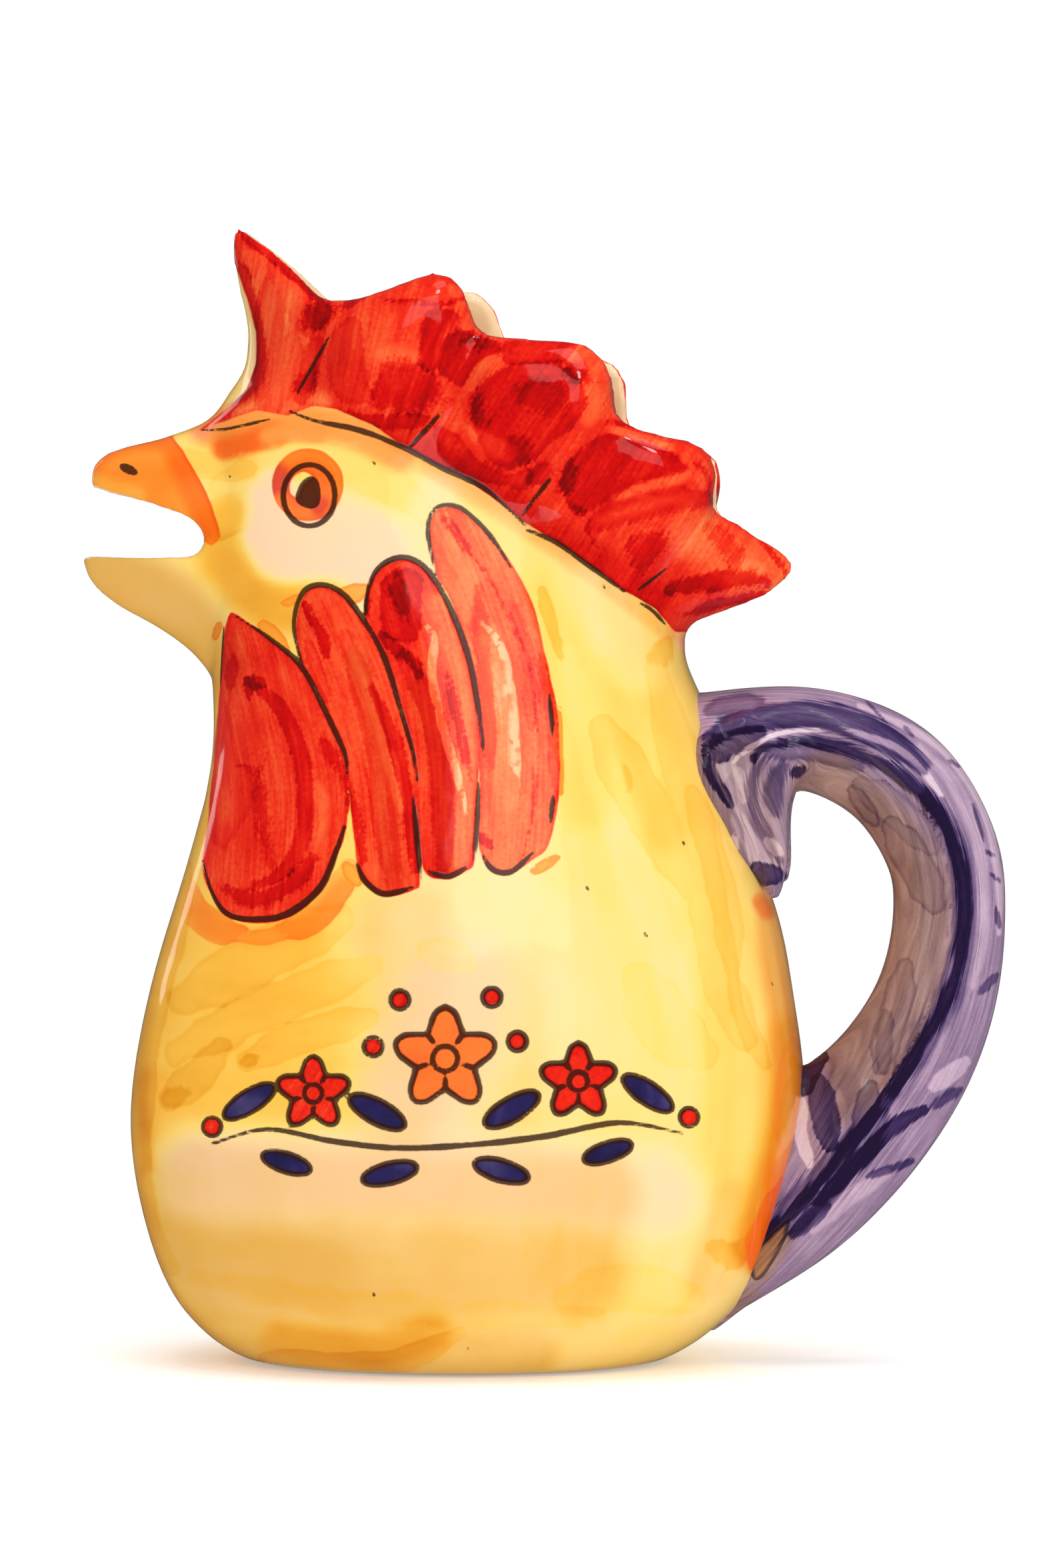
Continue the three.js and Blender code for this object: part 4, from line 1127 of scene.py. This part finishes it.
# %% Beige and violet washes
VIOLET_GROUND = 0.40
BEIGE_WASHES = [
    ([(1240, 1180), (1330, 1260), (1370, 1350), (1350, 1470), (1290, 1590), (1240, 1640)], 90, 0.9),
    ([(1060, 1130), (1070, 1190), (1100, 1250), (1130, 1300)], 40, 0.7),
    ([(1220, 1600), (1230, 1660), (1225, 1740)], 40, 0.45),
    ([(1140, 1905), (1170, 1860)], 30, 1.0),
    ([(1120, 1940), (1070, 1990)], 36, 0.7),
    ([(1112, 1136), (1130, 1200), (1150, 1280)], 60, 0.55),
]
VIOLET_WASHES = [
    ([(1090, 1050), (1200, 1045), (1290, 1060)], 40, 0.37),
    ([(1320, 1060), (1430, 1160), (1490, 1300), (1490, 1450), (1440, 1600)], 60, 0.43),
    ([(1400, 1700), (1300, 1800), (1200, 1890), (1120, 1960)], 50, 0.42),
    ([(1230, 1180), (1320, 1270), (1345, 1370), (1320, 1480), (1260, 1570)], 50, 0.40),
    ([(1060, 1100), (1090, 1180), (1140, 1290)], 70, 0.32),
    ([(1258, 1620), (1266, 1690)], 40, 0.50),
]
violet.wash("violet", VIOLET_WASHES, VIOLET_GROUND)
violet.wash("beige", BEIGE_WASHES)

# %% The strap's ridge, dark strokes with painted shade in the root's creases, and light strokes with painted highlights
RIDGE = [(1132, 1138), (1152, 1119), (1200, 1111), (1260, 1121), (1320, 1145), (1352, 1164), (1390, 1197),
         (1420, 1240), (1438, 1290), (1447, 1340), (1447, 1390), (1440, 1440), (1428, 1480), (1405, 1530),
         (1378, 1572), (1340, 1635), (1290, 1700), (1240, 1760), (1200, 1802), (1150, 1856)]
VIOLET_FIRST_COAT = [
    ([(1064, 1112), (1100, 1086), (1150, 1075), (1220, 1073), (1280, 1086), (1335, 1112),
      (1385, 1150)], 21, 0.31, 2.6),
    ([(1064, 1066), (1090, 1058), (1140, 1054)], 16, 0.14, 2.5),
    ([(1278, 1184), (1312, 1232)], 13, 0.10, 1.2),
    ([(1340, 1240), (1378, 1306), (1402, 1356)], 28, 0.06, 1.2),
    ([(1358, 1450), (1348, 1500), (1330, 1560), (1322, 1600)], 23, 0.05, 1.2),
    ([(1308, 1630), (1290, 1690)], 18, 0.14, 1.2),
    ([(1320, 1680), (1240, 1772), (1160, 1850)], 30, 0.15, 4.0),
    (RIDGE[6:16], 21, 0.08, 5.0),
    ([(1200, 1596), (1222, 1580), (1242, 1580), (1236, 1602), (1226, 1622), (1216, 1642),
      (1200, 1642)], 0, 0.50, 1.3),
    ([(1064, 1104), (1050, 1130), (1056, 1168), (1074, 1204), (1096, 1240), (1102, 1270),
      (1118, 1300)], 17, 0.12, 1.5),
    ([(1150, 1130), (1127, 1172), (1129, 1215), (1150, 1262), (1170, 1292)], 9, 0.17, 4.0),
    ([(1150, 1130), (1220, 1128), (1290, 1150)], 14, 0.10, 2.5),
]
VIOLET_DARK_AND_SHADE_COAT = [
    (RIDGE, 10.5, 0.40, 2.8),
    ([(1064, 1106), (1082, 1116), (1112, 1110), (1140, 1100)], 18, 0.30, 2.4),
    ([(1292, 1178), (1345, 1216), (1398, 1270)], 25, 0.04, 1.2),
    ([(1330, 1520), (1324, 1604)], 13, 0.08, 1.5),
    ([(1228, 1622), (1238, 1676), (1246, 1716)], 21, 0.32, 1.5),
    # Painted shade: near-black strokes in the creases between the root's folds.
    ([(1060, 1118), (1068, 1132), (1088, 1136)], 11, 0.44, 1.6),
    ([(1061, 1136), (1071, 1166), (1086, 1190), (1097, 1208)], 9, 0.46, 1.5),
    ([(1088, 1252), (1094, 1280)], 6, 0.50, 1.3),
    ([(1132, 1292), (1160, 1296), (1176, 1308), (1168, 1326), (1140, 1328), (1124, 1312)], 0, 0.44, 1.5),
    ([(1176, 1150), (1160, 1180), (1162, 1220)], 14, 0.18, 4.0),
    ([(1190, 1160), (1206, 1155)], 9, 0.40, 2.0),
    ([(1385, 1665), (1335, 1695), (1275, 1755), (1225, 1805)], 13, 0.42, 1.8),
    ([(1300, 1765), (1370, 1742)], 6, 0.30, 2.0),
    ([(1400, 1660), (1440, 1635)], 8, 0.26, 2.0),
    ([(1190, 1850), (1240, 1810)], 13, 0.26, 2.0),
    ([(1226, 1788), (1190, 1822), (1160, 1838), (1132, 1872), (1118, 1908)], 7, 0.34, 2.0),
    ([(1300, 1052), (1330, 1084)], 2.5, 0.26, 1.2), ([(1356, 1090), (1372, 1106)], 2.5, 0.24, 1.2),
    ([(1424, 1140), (1440, 1150)], 3, 0.26, 1.2), ([(1460, 1206), (1476, 1262)], 3, 0.28, 1.2),
    ([(1478, 1276), (1492, 1284)], 3, 0.26, 1.2), ([(1486, 1310), (1500, 1322)], 3, 0.26, 1.2),
    ([(1494, 1362), (1500, 1392)], 4, 0.30, 1.2), ([(1470, 1490), (1496, 1462)], 7, 0.22, 1.5),
]
VIOLET_LIGHT_AND_HIGHLIGHT_COAT = [
    # Painted highlights: two pale lines beside the ridge, where the rounded edge catches light.
    ([(1100, 1142), (1130, 1119), (1160, 1103), (1200, 1095), (1250, 1094)], 4, -0.44, 1.5),
    ([(1262, 1092), (1302, 1105), (1346, 1122), (1384, 1154), (1412, 1192)], 6, -0.36, 1.8),
    ([(1380, 1120), (1430, 1176), (1464, 1250), (1474, 1320), (1474, 1400), (1460, 1480)], 10, -0.14, 4.0),
    ([(1290, 1058), (1340, 1080), (1400, 1114), (1450, 1167), (1484, 1240), (1499, 1330),
      (1499, 1400)], 6, -0.22, 2.0),
    ([(1400, 1630), (1450, 1592)], 12, -0.20, 2.0),
    ([(1330, 1760), (1270, 1800), (1220, 1845)], 12, -0.14, 3.0),
    # Painted highlights: two pale glints on the root's upper folds.
    ([(1064, 1140), (1082, 1147), (1101, 1141), (1094, 1162), (1085, 1176), (1074, 1170)], 0, -0.12, 1.5),
    ([(1102, 1152), (1112, 1168), (1117, 1202)], 8, -0.18, 2.0),
    ([(1102, 1214), (1120, 1255), (1134, 1298)], 12, -0.12, 2.5),
    # Painted highlights: two small glints low on the root.
    ([(1150, 1262), (1172, 1280)], 9, -0.24, 2.0),
    ([(1100, 1256), (1106, 1272)], 5, -0.30, 1.5),
    ([(1205, 1650), (1202, 1700), (1215, 1748)], 10, -0.30, 1.5),
    ([(1256, 1640), (1262, 1700)], 9, -0.10, 3.0),
]
OCHRE_LENS = [(1125, 1905), (1131, 1880), (1150, 1856), (1184, 1826), (1182, 1850), (1166, 1884),
              (1146, 1914), (1132, 1921)]
violet.coat("violet_1", VIOLET_FIRST_COAT)
violet.coat("violet_2", VIOLET_DARK_AND_SHADE_COAT)
violet.coat("violet_3", VIOLET_LIGHT_AND_HIGHLIGHT_COAT)
violet.shape("lens", OCHRE_LENS)
violet.store()

# %% [markdown]
# ## Writing materials as sums
# A material is a chain of nodes, and most of them only add or multiply. A small class wraps a
# node's output, so that sums on it add Math nodes by themselves, and one method adds every other
# node.

# %% Shade: a value on its way through a material
class Shade:
    """A value in a material; arithmetic on it adds Math nodes."""

    def __init__(self, tree, socket=None):
        self.tree, self.socket = tree, socket

    def node(self, kind, settings, inputs, output=0):
        """Adds a node: its settings first, then the values or links of its sockets."""
        made = self.tree.nodes.new("ShaderNode" + kind)
        for name, value in settings.items():
            if name == "stops":
                elements = made.color_ramp.elements
                while len(elements) < len(value):
                    elements.new(1)
                for element, (position, colour) in zip(elements, value):
                    element.position, element.color = position, colour
            else:
                setattr(made, name, value)
        for name, value in inputs.items():
            if isinstance(value, Shade):
                self.tree.links.new(value.socket, made.inputs[name])
            else:
                made.inputs[name].default_value = value
        return Shade(self.tree, made.outputs[output])

    def math(self, operation, *values):
        return self.node("Math", {"operation": operation}, dict(enumerate(values)))

    def __add__(self, other):
        return self.math("ADD", self, other)

    def __sub__(self, other):
        return self.math("SUBTRACT", self, other)

    def __rsub__(self, other):
        return self.math("SUBTRACT", other, self)

    def __mul__(self, other):
        return self.math("MULTIPLY", self, other)

    __radd__, __rmul__ = __add__, __mul__

    def step(self, low, high):
        """0 below low, 1 above high, and a soft step between."""
        return self.node("MapRange", {"interpolation_type": "SMOOTHSTEP"}, {0: self, 1: low, 2: high})

    def mix(self, start, end):
        """A colour between two, with this value as the factor."""
        return self.node("Mix", {"data_type": "RGBA"}, {0: self, 6: start, 7: end}, output=2)

    def multiply(self, start, veil):
        """A colour seen through a veil of colour, with this value as the veil's strength."""
        inputs = {0: self, 6: start, 7: veil}
        return self.node("Mix", {"data_type": "RGBA", "blend_type": "MULTIPLY"}, inputs, output=2)

    def ramp(self, stops):
        """A colour from a row of stops."""
        return self.node("ValToRGB", {"stops": stops}, {0: self})

    def noise(self, vector, scale, detail=2.0):
        """Noise about zero, from -0.5 to 0.5."""
        inputs = {"Vector": vector, "Scale": scale, "Detail": detail}
        return self.node("TexNoise", {}, inputs) - 0.5

    def streaks(self, vector, factors, detail=3):
        """Noise that is drawn out one way; the factors say how fast it changes along each axis."""
        drawn_out = self.node("VectorMath", {"operation": "MULTIPLY"}, {0: vector, 1: factors})
        return self.noise(drawn_out, 1.0, detail)

    def layer(self, name, output="Fac"):
        """A paint layer that the canvas stored."""
        return self.node("Attribute", {"attribute_name": name}, {}, output)


def tint(red, green, blue):
    """A colour given as it looks on a screen, from 0 to 255."""
    shares = [value / 255 for value in (red, green, blue)]
    linear = [v / 12.92 if v <= 0.04045 else ((v + 0.055) / 1.055) ** 2.4 for v in shares]
    return (*linear, 1)


def new_material(name):
    """A new material, the start of its sums and its surface shader."""
    material = bpy.data.materials.new(name)
    material.use_nodes = True
    return material, Shade(material.node_tree), material.node_tree.nodes["Principled BSDF"]


# %% [markdown]
# ## The painted glaze
# Painted colour sits under a clear glaze and is thicker or thinner with the brush, and thin red is
# coral while thick red is almost brown. So each colour is a ramp from thin to thick, and what varies
# is the thickness: the stored layers, plus streaks along the brush's way, plus speckle, plus a dark
# rim where a wet stroke dried.

# %% Colours of the body, from thin to thick
CREAM = tint(252, 214, 168)
BROWN_LINE = tint(48, 20, 10)
BARE_CLAY = tint(222, 196, 160)
# The tint of the painted shade, which multiplies the colours under it.
PAINTED_SHADE_TINT = (0.78, 0.60, 0.34, 1)
YELLOW_RAMP = [(0.0, tint(252, 212, 172)), (0.25, tint(253, 220, 152)), (0.5, tint(254, 214, 110)),
               (0.75, tint(251, 189, 68)), (1.0, tint(230, 150, 24))]
ORANGE_RAMP = [(0.0, tint(253, 205, 110)), (0.35, tint(252, 160, 50)), (0.6, tint(251, 116, 12)),
               (0.8, tint(246, 82, 4)), (1.0, tint(214, 30, 8))]
RED_RAMP = [(0.0, tint(253, 190, 140)), (0.2, tint(252, 136, 76)), (0.4, tint(246, 90, 46)),
            (0.58, tint(234, 44, 22)), (0.75, tint(212, 10, 7)), (0.9, tint(172, 3, 3)),
            (1.0, tint(132, 2, 2))]
NAVY_RAMP = [(0.0, tint(96, 84, 128)), (0.5, tint(40, 34, 84)), (1.0, tint(14, 10, 30))]
print("colours from thin to thick:", sum(map(len, (YELLOW_RAMP, ORANGE_RAMP, RED_RAMP, NAVY_RAMP))))

# %% Edges, coats and the last links, for both glazes
SOFT_EDGE = 1.5
STROKE_EDGE = 1.1
STROKE_RIM = 6
CLAY_DETAIL = 3
RELIEF_HEIGHT = 0.0012


def filled(distance):
    """1 inside a shape, 0 outside it and a soft step at its edge."""
    return distance.step(-SOFT_EDGE, SOFT_EDGE)


def rim(distance, width):
    """A dark rim just inside a shape's edge."""
    return filled(distance) * (1 - distance.step(SOFT_EDGE, width))


def coats(shade, rims, rough_edge):
    """What coats of strokes add to a thickness; each has its own darker rim, where the stroke dried."""
    total = 0
    for name, rim_thickness in rims.items():
        edge = shade.layer(name) + rough_edge
        total = total + edge.step(-STROKE_EDGE, STROKE_EDGE) * shade.layer(name + "_amount")
        if rim_thickness:
            total = total + rim(edge, STROKE_RIM) * rim_thickness
    return total


def clay_noises(shade, wobble_scale, wobble_size, fine_scale, blotch_scale):
    """Places on the clay, a hand's wobble in pixels, fine speckle and soft blotches."""
    clay = shade.node("TexCoord", {}, {}, "Object")
    wobble = shade.noise(clay, wobble_scale) * wobble_size
    fine = shade.noise(clay, fine_scale, CLAY_DETAIL)
    return clay, wobble, fine, shade.noise(clay, blotch_scale, CLAY_DETAIL)


def put_on(piece, material, surface, colour, roughness, relief, strength):
    """Links a colour, a roughness and a relief to a material, and puts it on a piece."""
    inputs = {"Strength": strength, "Distance": RELIEF_HEIGHT, "Height": relief}
    bump = relief.node("Bump", {}, inputs, "Normal")
    for socket, value in (("Base Color", colour), ("Roughness", roughness), ("Normal", bump)):
        material.node_tree.links.new(value.socket, surface.inputs[socket])
    piece.data.materials.clear()
    piece.data.materials.append(material)
    print(material.name, "nodes:", len(material.node_tree.nodes))


# %% Body glaze: streaks
BODY_NOISES = {"wobble_scale": 160, "wobble_size": 7, "fine_scale": 1100, "blotch_scale": 90}
HAIR_WAY, BRUSH_WAY = (0.07, 1.3, 1.0), (0.035, 0.3, 1.0)
HAIR_SHARE, BRUSH_SHARE = 0.6, 0.7
UPRIGHT_WAY, LEVEL_WAY = (110, 110, 16), (18, 18, 100)
TAIL_SIDE = (-0.03, 0.01)
glaze, body_shade, body_surface = new_material("painted_glaze")
clay, wobble, fine, blotch = clay_noises(body_shade, **BODY_NOISES)
grain = body_shade.layer("grain", "Vector")
hair, brush = body_shade.streaks(grain, HAIR_WAY), body_shade.streaks(grain, BRUSH_WAY)
streak = brush * BRUSH_SHARE + hair * HAIR_SHARE
upright = body_shade.streaks(clay, UPRIGHT_WAY)
level = body_shade.streaks(clay, LEVEL_WAY)
tailward = body_shade.node("SeparateXYZ", {}, {0: clay}).step(*TAIL_SIDE)
wash_streak = tailward * upright + (1 - tailward) * level
print("nodes for streaks:", len(glaze.node_tree.nodes))

# %% Body glaze: yellow
YELLOW_STREAK, YELLOW_BLOTCH = 0.30, 0.14
YELLOW_WOBBLE, YELLOW_FRAY = 1.2, 6
YELLOW_RIMS = {"yellow_1": 0.035, "yellow_2": 0.035}
yellow_coats = coats(body_shade, YELLOW_RIMS, wobble * YELLOW_WOBBLE + wash_streak * YELLOW_FRAY)
yellow_thick = (body_shade.layer("yellow") + wash_streak * YELLOW_STREAK + blotch * YELLOW_BLOTCH
                + yellow_coats)
colour = yellow_thick.ramp(YELLOW_RAMP)
print("nodes with yellow:", len(glaze.node_tree.nodes))

# %% Body glaze: orange, as a wash and as solid shapes
ORANGE_STREAK, ORANGE_WOBBLE, ORANGE_FRAY = 0.3, 0.8, 4
ORANGE_RIMS = {"orange_1": 0.05}
ORANGE_SEEN = (0.08, 0.95)
ORANGE_START, ORANGE_SPAN = 0.3, 0.55
orange_coats = coats(body_shade, ORANGE_RIMS, wobble * ORANGE_WOBBLE + wash_streak * ORANGE_FRAY)
orange_wash = body_shade.layer("orange") + wash_streak * ORANGE_STREAK + orange_coats
washed = (orange_wash * ORANGE_SPAN + ORANGE_START).ramp(ORANGE_RAMP)
colour = orange_wash.step(*ORANGE_SEEN).mix(colour, washed)

SOLID_WOBBLE, SOLID_STREAK, SOLID_BLOTCH = 0.6, 0.25, 0.2
SOLID_RIM_WIDTH, SOLID_RIM = 8, 0.14
SOLID_COVER = 0.92
orange_edge = body_shade.layer("orange_shape") + wobble * SOLID_WOBBLE
orange_thick = (body_shade.layer("orange_body") + wash_streak * SOLID_STREAK + blotch * SOLID_BLOTCH
                + rim(orange_edge, SOLID_RIM_WIDTH) * SOLID_RIM)
colour = (filled(orange_edge) * SOLID_COVER).mix(colour, orange_thick.ramp(ORANGE_RAMP))
print("nodes with orange:", len(glaze.node_tree.nodes))

# %% Body glaze: red
RED_STREAK, RED_FINE, RED_BLOTCH = 0.50, 0.24, 0.26
RED_WOBBLE, RED_RIM_WIDTH, RED_RIM = 0.7, 9, 0.10
RED_COAT_WOBBLE, RED_COAT_FRAY, RED_COAT_SPECKLE = 0.5, 5, 4
RED_RIMS = {"red_1": 0.06, "red_2": 0.04, "red_3": 0}
red_edge = body_shade.layer("red_shape") + wobble * RED_WOBBLE
rough_edge = wobble * RED_COAT_WOBBLE + streak * RED_COAT_FRAY + fine * RED_COAT_SPECKLE
red_thick = (body_shade.layer("red") + streak * RED_STREAK + fine * RED_FINE + blotch * RED_BLOTCH
             + rim(red_edge, RED_RIM_WIDTH) * RED_RIM + coats(body_shade, RED_RIMS, rough_edge))
colour = filled(red_edge).mix(colour, red_thick.ramp(RED_RAMP))
print("nodes with red:", len(glaze.node_tree.nodes))

# %% Body glaze: painted shade and navy
SHADE_STREAK, SHADE_BLOTCH = 0.25, 0.2
NAVY_WOBBLE, NAVY_THICKNESS, NAVY_STREAK = 0.5, 0.5, 1.4
# Painted shade: how strongly the shade tint darkens each place.
umber = body_shade.layer("umber") + wash_streak * SHADE_STREAK + blotch * SHADE_BLOTCH
colour = umber.step(0.0, 1.0).multiply(colour, PAINTED_SHADE_TINT)
navy_edge = body_shade.layer("navy_shape") + wobble * NAVY_WOBBLE
navy_thick = NAVY_THICKNESS + wash_streak * NAVY_STREAK + blotch
colour = filled(navy_edge).mix(colour, navy_thick.ramp(NAVY_RAMP))
print("nodes with umber and navy:", len(glaze.node_tree.nodes))

# %% Body glaze: lines, the inside and the foot
LINE_WOBBLE, LINE_FINE = 0.45, 1.5
LINE_STEP, LINE_COVER = (-1.4, 1.2), 0.93
INSIDE_STEP, INSIDE_FINE = (-0.35, -0.18), 0.15
BARE_STEP = (0.3, 0.6)
line_edge = body_shade.layer("line") + (wobble * LINE_WOBBLE + fine * LINE_FINE)
colour = (line_edge.step(*LINE_STEP) * LINE_COVER).mix(colour, BROWN_LINE)
outer = body_shade.layer("outer") + fine * INSIDE_FINE
colour = outer.step(*INSIDE_STEP).mix(CREAM, colour)
bare = body_shade.layer("bare").step(*BARE_STEP)
colour = bare.mix(colour, BARE_CLAY)
print("nodes with lines:", len(glaze.node_tree.nodes))

# %% Body glaze: relief and shine
RELIEF_SCALE, RELIEF_BLOTCH, RELIEF_LINE = 45, 0.25, 0.12
LINE_RELIEF_STEP = (-2, 2)
SHINE, BARE_DULL, LINE_DULL, BLOTCH_DULL = 0.07, 0.6, 0.05, 0.04
raised = line_edge.step(*LINE_RELIEF_STEP)
relief = body_shade.noise(clay, RELIEF_SCALE) + blotch * RELIEF_BLOTCH + raised * RELIEF_LINE
roughness = SHINE + bare * BARE_DULL + raised * LINE_DULL + blotch * BLOTCH_DULL
put_on(body, glaze, body_surface, colour, roughness, relief, strength=0.25)

# %% [markdown]
# ## The violet glaze
# The handle's colour is the same idea with two ramps, a lilac one and a beige one, because the
# violet is washed out to beige on the flat side. One ochre patch, shaped like a lens, lies at its foot.

# %% Handle glaze: colours and streaks
LILAC_RAMP = [(0.0, tint(230, 208, 218)), (0.25, tint(190, 162, 184)), (0.45, tint(138, 112, 142)),
              (0.65, tint(90, 70, 110)), (0.82, tint(56, 40, 84)), (1.0, tint(30, 16, 50))]
BEIGE_RAMP = [(0.0, tint(222, 194, 178)), (0.25, tint(184, 150, 140)), (0.45, tint(142, 110, 108)),
              (0.65, tint(98, 72, 82)), (0.82, tint(60, 38, 64)), (1.0, tint(32, 14, 40))]
OCHRE_RAMP = [(0.0, tint(214, 160, 100)), (0.4, tint(166, 112, 62)), (0.8, tint(66, 40, 34)),
              (1.0, tint(34, 16, 24))]
STRAP_NOISES = {"wobble_scale": 180, "wobble_size": 6, "fine_scale": 1300, "blotch_scale": 110}
STRAP_STREAK_WAY, STRAP_HAIR_WAY = (0.05, 0.9, 1.0), (0.1, 3.0, 1.0)
violet_glaze, strap_shade, strap_surface = new_material("violet_glaze")
clay, wobble, fine, blotch = clay_noises(strap_shade, **STRAP_NOISES)
grain = strap_shade.layer("grain", "Vector")
streak = strap_shade.streaks(grain, STRAP_STREAK_WAY, detail=4)
hair = strap_shade.streaks(grain, STRAP_HAIR_WAY, detail=2)
print("nodes for streaks:", len(violet_glaze.node_tree.nodes))

# %% Handle glaze: thickness, relief and shine
VIOLET_STREAK, VIOLET_HAIR, VIOLET_FINE, VIOLET_BLOTCH = 0.40, 0.24, 0.08, 0.16
VIOLET_WOBBLE, VIOLET_FRAY, VIOLET_HAIR_FRAY = 0.5, 6, 4
VIOLET_RIMS = {"violet_1": 0.10, "violet_2": 0.06, "violet_3": 0}
BEIGE_STREAK, BEIGE_STEP = 0.4, (0.1, 0.9)
LENS_WOBBLE, LENS_STEP, LENS_COVER = 0.5, (-1, 1), 0.8
OCHRE_THICKNESS, OCHRE_STREAK, OCHRE_RIM_WIDTH, OCHRE_RIM = 0.46, 1.2, 9, 0.6
STRAP_RELIEF_SCALE, STRAP_RELIEF_STREAK = 60, 0.35
STRAP_SHINE, STRAP_DULL = 0.1, 0.05
rough_edge = wobble * VIOLET_WOBBLE + streak * VIOLET_FRAY + hair * VIOLET_HAIR_FRAY
thick = (strap_shade.layer("violet") + streak * VIOLET_STREAK + hair * VIOLET_HAIR + fine * VIOLET_FINE
         + blotch * VIOLET_BLOTCH + coats(strap_shade, VIOLET_RIMS, rough_edge))
beige = (strap_shade.layer("beige") + streak * BEIGE_STREAK).step(*BEIGE_STEP)
colour = beige.mix(thick.ramp(LILAC_RAMP), thick.ramp(BEIGE_RAMP))
lens = strap_shade.layer("lens") + wobble * LENS_WOBBLE
ochre = OCHRE_THICKNESS + streak * OCHRE_STREAK + rim(lens, OCHRE_RIM_WIDTH) * OCHRE_RIM
colour = (lens.step(*LENS_STEP) * LENS_COVER).mix(colour, ochre.ramp(OCHRE_RAMP))
relief = strap_shade.noise(clay, STRAP_RELIEF_SCALE) + streak * STRAP_RELIEF_STREAK
roughness = STRAP_SHINE + blotch * STRAP_DULL
put_on(handle, violet_glaze, strap_surface, colour, roughness, relief, strength=0.3)

# %% [markdown]
# ## Floor and light
# The photograph is a cut-out on white, lit by soft boxes in a dark room: colours stay deep, and the
# glaze shows a few clear reflections. The floor is white paper, the world is white where the camera
# looks at it and dim where the glaze would mirror it, and soft boxes do the rest.

# %% Floor
FLOOR_SIZE = 1.8
PAPER = {"Base Color": (0.96, 0.96, 0.96, 1), "Roughness": 0.95, "Emission Color": (1, 1, 1, 1),
         "Emission Strength": 0.22}
bpy.ops.object.select_all(action="DESELECT")
bpy.ops.mesh.primitive_plane_add(size=FLOOR_SIZE)
floor = bpy.context.active_object
floor.name = "floor"
paper, _, paper_surface = new_material("white_paper")
for socket, value in PAPER.items():
    paper_surface.inputs[socket].default_value = value
floor.data.materials.append(paper)
floor.visible_glossy = False
print("floor side:", FLOOR_SIZE)

# %% World
WORLD_STRENGTH, SEEN_EXTRA, MIRRORED_LOSS = 0.52, 0.53, 0.44
world = bpy.data.worlds.new("studio")
bpy.context.scene.world = world
world.use_nodes = True
sky = Shade(world.node_tree)
seen = sky.node("LightPath", {}, {}, "Is Camera Ray")
mirrored = sky.node("LightPath", {}, {}, "Is Glossy Ray")
world_strength = WORLD_STRENGTH + seen * SEEN_EXTRA - mirrored * MIRRORED_LOSS
background = world.node_tree.nodes["Background"]
world.node_tree.links.new(world_strength.socket, background.inputs["Strength"])
background.inputs["Color"].default_value = (1, 1, 1, 1)
print("world strength:", WORLD_STRENGTH)

# %% Soft boxes: name, place, width and height, watts, and whether the glaze mirrors it
SOFT_BOXES = [
    ("key_box", (0.24, -1.34, 1.0), (0.84, 0.8), 2.4, True),
    ("fill_box", (0.1, -1.7, 0.8), (1.8, 1.2), 5.6, False),
    ("right_box", (1.4, -0.9, 0.6), (1.0, 1.0), 4, False),
    ("left_box", (-1.15, 1.05, 0.66), (0.2, 0.9), 0.7, True),
    ("top_box", (0.0, -0.1, 1.8), (1.2, 1.2), 14, False),
    ("top_strip", (0.35, -0.4, 1.5), (0.5, 0.5), 1.1, True),
    ("small_box", (0.5, -0.95, 1.5), (0.14, 0.24), 1.2, True),
    ("back_box", (0.2, 1.6, 0.7), (1.2, 1.2), 5, False),
]
for name, place, size, power, is_mirrored in SOFT_BOXES:
    bpy.ops.object.select_all(action="DESELECT")
    bpy.ops.object.light_add(type="AREA", location=place)
    light = bpy.context.active_object
    light.name = name
    light.data.shape = "RECTANGLE"
    light.data.size, light.data.size_y = size
    light.data.energy = power
    light.visible_glossy = is_mirrored
    light.rotation_euler = (CAMERA_TARGET - light.location).to_track_quat("-Z", "Y").to_euler()
    print(name, "watts:", power)
bpy.context.scene.view_settings.view_transform = "Standard"

# %% [markdown]
# ## The skins on the body
# Both skins ride on the jug's one body and stand for the solids that they were made from.

# %% Each skin rides on the root body, and its solids are hidden
for piece, names, slot in ((body, BODY_NODES, "cream_glaze"), (handle, HANDLE_NODES, "violet_glaze")):
    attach(piece, "root")
    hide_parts(*names)
